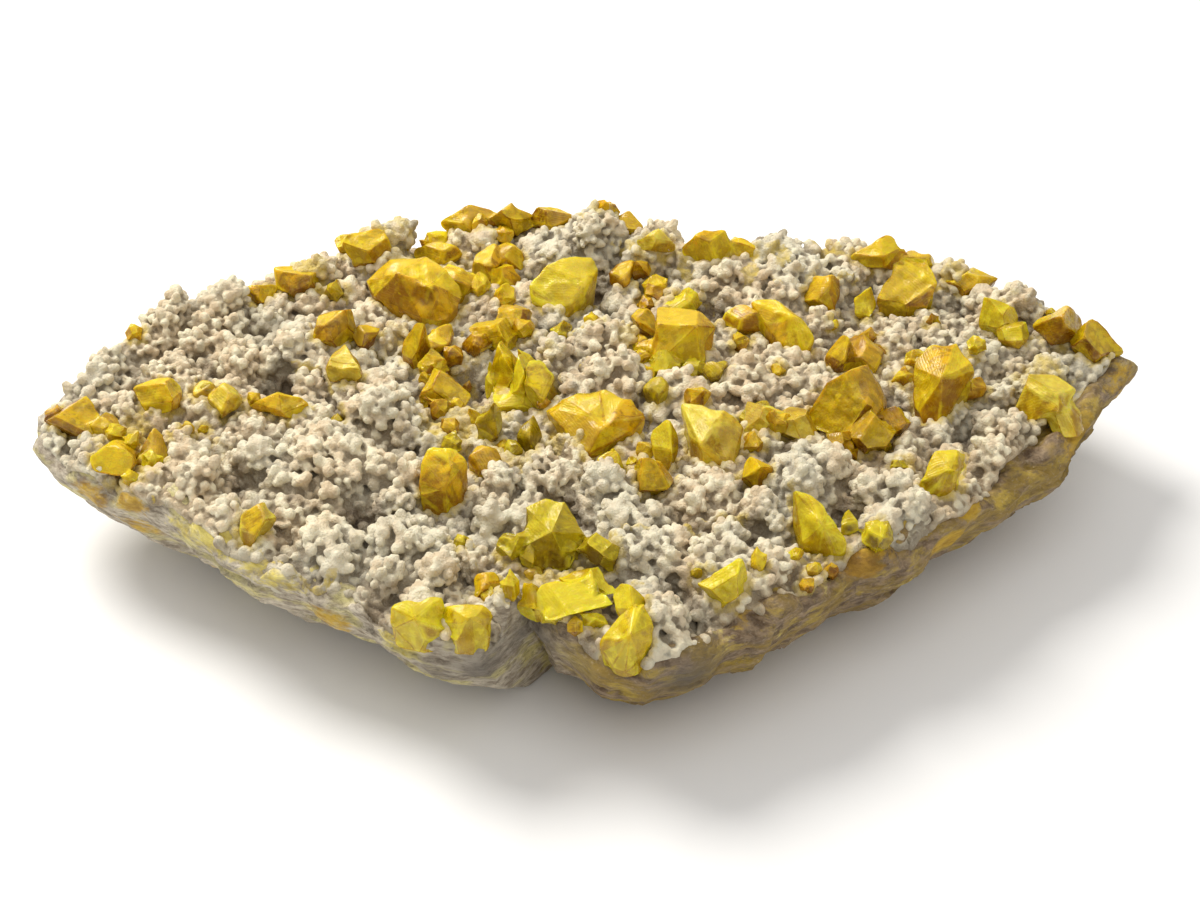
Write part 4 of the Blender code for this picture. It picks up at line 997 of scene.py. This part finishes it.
def crust_beads():
    """Middle, radius and direction of every bead on the crust, the large ones placed first."""
    rng = np.random.default_rng(21)
    lumps, outs = crust_lumps()
    tree = kdtree.KDTree(len(lumps))
    for number, lump in enumerate(lumps):
        tree.insert(lump[:3], number)
    tree.balance()
    cell = 3.2 * MM
    kept, boxes = [], {}
    for tries, (small, large) in zip(BEAD_TRIES, BEAD_RADII):
        spots, leans = bead_spots(lumps, outs, tries, small, rng)
        coarse = ripple(spots[:, :2], 20 * MM, 6.0)
        allowed = coarse > (-0.10 if small > 1.1 * MM else -0.35 if small > 0.9 * MM else -2.0)
        spots, leans = spots[allowed], leans[allowed]
        radii = rng.uniform(small, large, len(spots))
        for spot, radius, toward in zip(spots, radii, leans):
            x, y, z = spot
            column, row, layer = int(x // cell), int(y // cell), int(z // cell)
            clear = True
            for key in (
                (column + i, row + j, layer + k) for i in (-1, 0, 1) for j in (-1, 0, 1) for k in (-1, 0, 1)
            ):
                for ox, oy, oz, other in boxes.get(key, ()):
                    reach = BEAD_SPACING * (radius + other)
                    if (ox - x) ** 2 + (oy - y) ** 2 + (oz - z) ** 2 < reach * reach:
                        clear = False
                        break
                if not clear:
                    break
            if not clear:
                continue
            buried = any(
                gap < lumps[number, 3] - 0.5 * radius for _, number, gap in tree.find_n(spot, 4)
            )
            if not buried and outside_crystals(spot) > -CREEP * radius:
                boxes.setdefault((column, row, layer), []).append((x, y, z, radius))
                kept.append((x, y, z, radius, *toward))
    kept = np.array(kept)
    return lumps, kept[:, :3], kept[:, 3], kept[:, 4:], rng


def stacked_beads(middles, radii, leans, rng):
    """Smaller beads that have budded out of some of the first ones."""
    picked = np.flatnonzero(rng.random(len(radii)) < BUD_SHARE)
    swing = leans[picked] + rng.normal(0.0, 0.45, (len(picked), 3))
    swing /= np.linalg.norm(swing, axis=1)[:, None]
    smaller = np.maximum(radii[picked] * rng.uniform(0.65, 0.9, len(picked)), 0.65 * MM)
    buds = middles[picked] + swing * (radii[picked] * rng.uniform(0.6, 0.85, len(picked)))[:, None]
    free = np.array([outside_crystals(p) > -0.1 * r for p, r in zip(buds, smaller)])
    return (
        np.concatenate([middles, buds[free]]),
        np.concatenate([radii, smaller[free]]),
        np.concatenate([leans, swing[free]]),
    )


def bead_shape():
    bm = bmesh.new()
    bmesh.ops.create_icosphere(bm, subdivisions=2, radius=1.0)
    points = np.array([tuple(v.co) for v in bm.verts])
    faces = np.array([[v.index for v in f.verts] for f in bm.faces])
    bm.free()
    return points, faces


def bead_meshes(middles, radii, leans, rng):
    """Every bead as a slightly long ball that points along its lean."""
    ball, faces = bead_shape()
    long = rng.uniform(0.92, 1.18, len(radii))
    along = (ball[None] @ leans[:, :, None])[:, :, 0]
    stretched = ball[None] + leans[:, None, :] * (along * (long - 1.0)[:, None])[:, :, None]
    lumpy = 1.0 + 0.08 * rng.normal(size=along.shape)
    points = middles[:, None] + stretched * (radii[:, None] * lumpy)[:, :, None]
    shift = np.arange(len(radii))[:, None, None] * len(ball)
    return points.reshape(-1, 3), (faces[None] + shift).reshape(-1, 3)


def skin_faces():
    """Triangles over the whole crusted area, for the skin between the beads."""
    spots = jittered_spots(1.3 * MM, 31)
    spots = spots[is_inside(spots, CRUST_LOOP)]
    spots = spots[distance_to(spots, CRUST_LOOP[::2]) > 0.8 * MM]
    count = len(CRUST_LOOP)
    ring = [(i, (i + 1) % count) for i in range(count)]
    flat = [Vector(p) for p in CRUST_LOOP] + [Vector(p) for p in spots]
    flat, _, faces, _, _, _ = geometry.delaunay_2d_cdt(flat, ring, [], 1, 1e-7)
    return np.array([tuple(p) for p in flat]), np.array([tuple(f) for f in faces])


def stretch_of(spots):
    """Which stretch of crust each spot belongs to."""
    winding = spots[:, 0] + 6 * MM * ripple(np.column_stack([spots[:, 1], spots[:, 1] * 0]), 14 * MM, 3.0)
    return np.searchsorted(np.array(STRETCHES) * MM, winding)


def closed_skin(spots, faces):
    """A closed sheet of the crust's thickness, its top rough and its underside smooth."""
    used, faces = np.unique(faces, return_inverse=True)
    faces = faces.reshape(-1, 3)
    spots = spots[used]
    rough = 0.30 * ripple(spots, 2.6 * MM, 1.0) + 0.18 * ripple(spots, 1.4 * MM, 5.0)
    top = np.column_stack([spots, sample(SHEET_GRID, spots) + rough * MM])
    low = np.column_stack([spots, sample(NEAR_MEAN, spots) - CRUST_THICKNESS])
    low[:, 2] = np.minimum(low[:, 2], top[:, 2] - 1.5 * MM)
    count = len(spots)
    ends = np.concatenate([faces[:, [0, 1]], faces[:, [1, 2]], faces[:, [2, 0]]])
    keys = {tuple(e) for e in ends}
    border = np.array([e for e in ends if (e[1], e[0]) not in keys])
    a, b = border[:, 0], border[:, 1]
    walls = np.concatenate([np.column_stack([a, a + count, b + count]), np.column_stack([a, b + count, b])])
    return np.concatenate([top, low]), np.concatenate([faces, faces[:, ::-1] + count, walls])


def worked_out(obj):
    """Replaces the object's mesh by what its modifiers make of it."""
    bpy.context.view_layer.update()
    graph = bpy.context.evaluated_depsgraph_get()
    mesh = bpy.data.meshes.new_from_object(obj.evaluated_get(graph))
    obj.modifiers.clear()
    obj.data = mesh
    return obj


def fused(name, points, faces):
    """One skin round all the beads and the sheet under them, with no more triangles than it may."""
    made = mesh_of(name, points, faces)
    skin = made.modifiers.new("one_skin", "REMESH")
    skin.mode = "VOXEL"
    skin.voxel_size = VOXEL
    softer = made.modifiers.new("softer", "SMOOTH")
    softer.factor = 0.25
    softer.iterations = 1
    worked_out(made)
    count = sum(len(p.vertices) - 2 for p in made.data.polygons)
    if count > TRIANGLES_EACH:
        fewer = made.modifiers.new("fewer", "DECIMATE")
        fewer.ratio = TRIANGLES_EACH / count
        worked_out(made)
    bm = bmesh.new()
    bm.from_mesh(made.data)
    drop_folds(bm)
    bm.to_mesh(made.data)
    bm.free()
    made.data.shade_smooth()
    return made


def mark_crust(mesh):
    """Marks how far each point stands out of the crust round it and how deep it lies, for the finish's
    painted shade, and its yellow tint from sulfur stain and painted reflected light.
    """
    points = points_of(mesh)
    edges = np.empty(len(mesh.edges) * 2, np.int32)
    mesh.edges.foreach_get("vertices", edges)
    edges = edges.reshape(-1, 2)
    normals = np.empty(len(points) * 3, np.float32)
    mesh.vertex_normals.foreach_get("vector", normals)
    normals = normals.reshape(-1, 3).astype(float)
    count = np.bincount(edges.ravel(), minlength=len(points)).clip(1)[:, None]

    def mean_of(values):
        total = np.zeros((len(points), values.shape[1]))
        for column in range(values.shape[1]):
            total[:, column] += np.bincount(edges[:, 0], values[edges[:, 1], column], len(points))
            total[:, column] += np.bincount(edges[:, 1], values[edges[:, 0], column], len(points))
        return total / count

    settled = points
    for _ in range(5):
        settled = mean_of(settled)
    proud = ((points - settled) * normals).sum(1)
    for _ in range(1):
        proud = mean_of(proud[:, None])[:, 0]
    above = points[:, 2] - sample(FACE_GRID, points[:, :2])
    face = sample(FACE_GRID, points[:, :2])
    deep = 0.6 * (face - sample(WIDE_MEAN, points[:, :2])) + 0.6 * (face - sample(NEAR_MEAN, points[:, :2]))
    # Near the crystals the crust turns yellow: partly sulfur stain, partly painted yellow light reflected off them.
    # The listed patches are sulfur showing through.
    stain = 0.8 * smooth_step(3.0 * MM, 0.2 * MM, sample(CRYSTAL_GAP, points[:, :2]))
    for x, y, radius, strong in STAINS:
        gap = np.hypot(points[:, 0] - x * MM, points[:, 1] - y * MM) / (radius * MM)
        stain = np.maximum(stain, strong * np.clip(1.5 - gap, 0, 1))
    mark(mesh, "stain", stain)
    mark(mesh, "proud", proud / MM)
    mark(mesh, "above", above / MM)
    mark(mesh, "deep", -deep / MM)


def crust_finish():
    material, tree, shader = new_finish("bead_crust")
    place = add_node(tree, "ShaderNodeTexCoord").outputs["Object"]
    proud = read_mark(tree, "proud")
    above = read_mark(tree, "above")
    deep = read_mark(tree, "deep")
    drift = grain_of(tree, place, 26 * MM, 2.0)
    patch = grain_of(tree, place, 4.5 * MM, 3.0)
    sugar = grain_of(tree, place, 0.55 * MM, 3.0, 0.7)
    tips = blend_colours(tree, stretch(tree, patch, 0.42, 0.58), (0.67, 0.53, 0.345), (0.83, 0.75, 0.54))
    tips = blend_colours(tree, stretch(tree, drift, 0.44, 0.58, 0.0, 0.6), tips, (0.70, 0.66, 0.51))
    # Paler on the beads' tips and the lumps, darker in the hollows: painted shade in the hollows, mixed with the
    # sheet's own blue-grey and brown.
    hollow_tone_and_shade = blend_colours(tree, stretch(tree, drift, 0.40, 0.60), (0.43, 0.335, 0.21), (0.43, 0.395, 0.305))
    share = add_up(tree, stretch(tree, proud, -0.07, 0.12), stretch(tree, above, -1.6, 1.6), 0.9)
    colour = blend_colours(tree, stretch(tree, share, 0.50, 1.50), hollow_tone_and_shade, tips)
    # Painted shade in the creases between the beads.
    colour = blend_colours(tree, stretch(tree, proud, -0.16, -0.03, 0.55, 0.0), colour, (0.20, 0.15, 0.09))
    # Painted shade in the low ground between the heaps, darker the deeper it lies.
    colour = blend_colours(tree, stretch(tree, deep, 0.3, 3.6, 0.0, 0.75), colour, (0.16, 0.12, 0.08))
    colour = blend_colours(tree, stretch(tree, sugar, 0.52, 0.78, 0.0, 0.35), colour, (0.78, 0.70, 0.56))
    # Yellow where sulfur stains or shows through the crust, and painted light reflected from the crystals next to
    # it.
    tinged = add_up(tree, read_mark(tree, "stain"), add_up(tree, grain_of(tree, place, 3 * MM, 3.0, 0.6), -0.5), 1.8)
    colour = blend_colours(tree, stretch(tree, tinged, 0.35, 1.05, 0.0, 0.75), colour, (0.62, 0.46, 0.06))
    tree.links.new(colour, shader.inputs["Base Color"])
    pearls = add_node(tree, "ShaderNodeTexVoronoi", {"Vector": place, "Scale": 1 / (0.6 * MM)}).outputs["Distance"]
    height = add_up(tree, sugar, pearls, -0.5)
    bump = add_node(tree, "ShaderNodeBump", {"Height": height, "Strength": 1.0, "Distance": 0.45 * MM})
    tree.links.new(bump.outputs["Normal"], shader.inputs["Normal"])
    tree.links.new(stretch(tree, sugar, 0.35, 0.75, 0.85, 0.50), shader.inputs["Roughness"])
    shader.inputs["Specular IOR Level"].default_value = 0.35
    shader.inputs["Subsurface Weight"].default_value = 0.15
    shader.inputs["Subsurface Radius"].default_value = (1.0, 0.85, 0.65)
    shader.inputs["Subsurface Scale"].default_value = 0.8 * MM
    return material


def pulled_about(points):
    """The same points pulled gently this way and that, so that no ball stays round."""
    moved = np.empty_like(points)
    for number, point in enumerate(points):
        near = Vector(point)
        moved[number] = noise.noise_vector(near / LUMP_WARP[1]) * LUMP_WARP[0] + noise.noise_vector(
            near / BEAD_WARP[1]
        ) * BEAD_WARP[0]
    return points + moved


def stretch_points(number):
    """The sheet, the lumps and the beads of one stretch of crust, still as separate closed shapes."""
    sheet, sheet_faces = closed_skin(skin_spots, skin_triangles[skin_stretch == number])
    rng = np.random.default_rng(40 + number)
    own = stretch_of(lumps[:, :2]) == number
    upright = np.tile((0.0, 0.0, 1.0), (own.sum(), 1))
    big, big_faces = bead_meshes(lumps[own, :3], lumps[own, 3], upright, rng)
    own = stretch_of(middles[:, :2]) == number
    small, small_faces = bead_meshes(pulled_about(middles[own]), radii[own], leans[own], rng)
    points = np.concatenate([pulled_about(sheet), pulled_about(big), small])
    big_faces = big_faces + len(sheet)
    small_faces = small_faces + len(sheet) + len(big)
    return points, np.concatenate([sheet_faces, big_faces, small_faces])


lumps, middles, radii, leans, bead_rng = crust_beads()
middles, radii, leans = stacked_beads(middles, radii, leans, bead_rng)
print("beads", len(radii), "lumps", len(lumps))
skin_spots, skin_triangles = skin_faces()
skin_stretch = stretch_of(skin_spots[skin_triangles].mean(1))
CRUST_FINISH = crust_finish()
for number, name in enumerate(("west", "west_middle", "middle", "east_middle", "east")):
    crust = fused("crust_" + name, *stretch_points(number))
    mark_crust(crust.data)
    crust.data.materials.append(CRUST_FINISH)
    set_down(crust, "matrix")
    print(crust.name, sum(len(p.vertices) - 2 for p in crust.data.polygons))

# ------------------------------------------------------------------ floor, light and camera
# A pale seamless table with soft daylight from above and behind on the left.
FLOOR_COLOUR = (0.88, 0.88, 0.88)
floor = mesh_of(
    "floor", [(-4, -4, 0), (4, -4, 0), (4, 4, 0), (-4, 4, 0)], [(0, 1, 2, 3)]
)
material, tree, shader = new_finish("pale_floor")
shader.inputs["Base Color"].default_value = (*FLOOR_COLOUR, 1.0)
shader.inputs["Roughness"].default_value = 0.9
floor.data.materials.append(material)


def soft_light(name, place, aim, size, watts, colour):
    lamp = bpy.data.lights.new(name, "AREA")
    lamp.shape = "DISK"
    lamp.size = size
    lamp.energy = watts
    lamp.color = colour
    made = bpy.data.objects.new(name, lamp)
    bpy.context.scene.collection.objects.link(made)
    made.location = place
    made.rotation_euler = (Vector(aim) - Vector(place)).to_track_quat("-Z", "Y").to_euler()


soft_light("window", (-0.50, 0.42, 0.85), (0, 0, 0.02), 0.6, 12.0, (1.0, 0.97, 0.92))
soft_light("ceiling", (0.15, -0.55, 1.10), (0, 0, 0.02), 1.2, 4.0, (1.0, 0.98, 0.95))
world = bpy.data.worlds.new("room")
world.use_nodes = True
world.node_tree.nodes["Background"].inputs["Color"].default_value = (1.0, 0.985, 0.96, 1.0)
world.node_tree.nodes["Background"].inputs["Strength"].default_value = 0.54
bpy.context.scene.world = world

CAMERA_TILT = math.radians(38)
CAMERA_DISTANCE = 0.6
AIM = MIDDLE + Vector((0.0, 0.0, 25.0)) * MM
lens = bpy.data.cameras.new("camera")
lens.sensor_width = 36.0
lens.lens = 36.0 * 2383.0 / 1200.0
camera = bpy.data.objects.new("camera", lens)
bpy.context.scene.collection.objects.link(camera)
camera.location = AIM + Vector((0.0, -math.cos(CAMERA_TILT), math.sin(CAMERA_TILT))) * CAMERA_DISTANCE
camera.rotation_euler = (math.pi / 2 - CAMERA_TILT, 0.0, 0.0)
bpy.context.scene.camera = camera
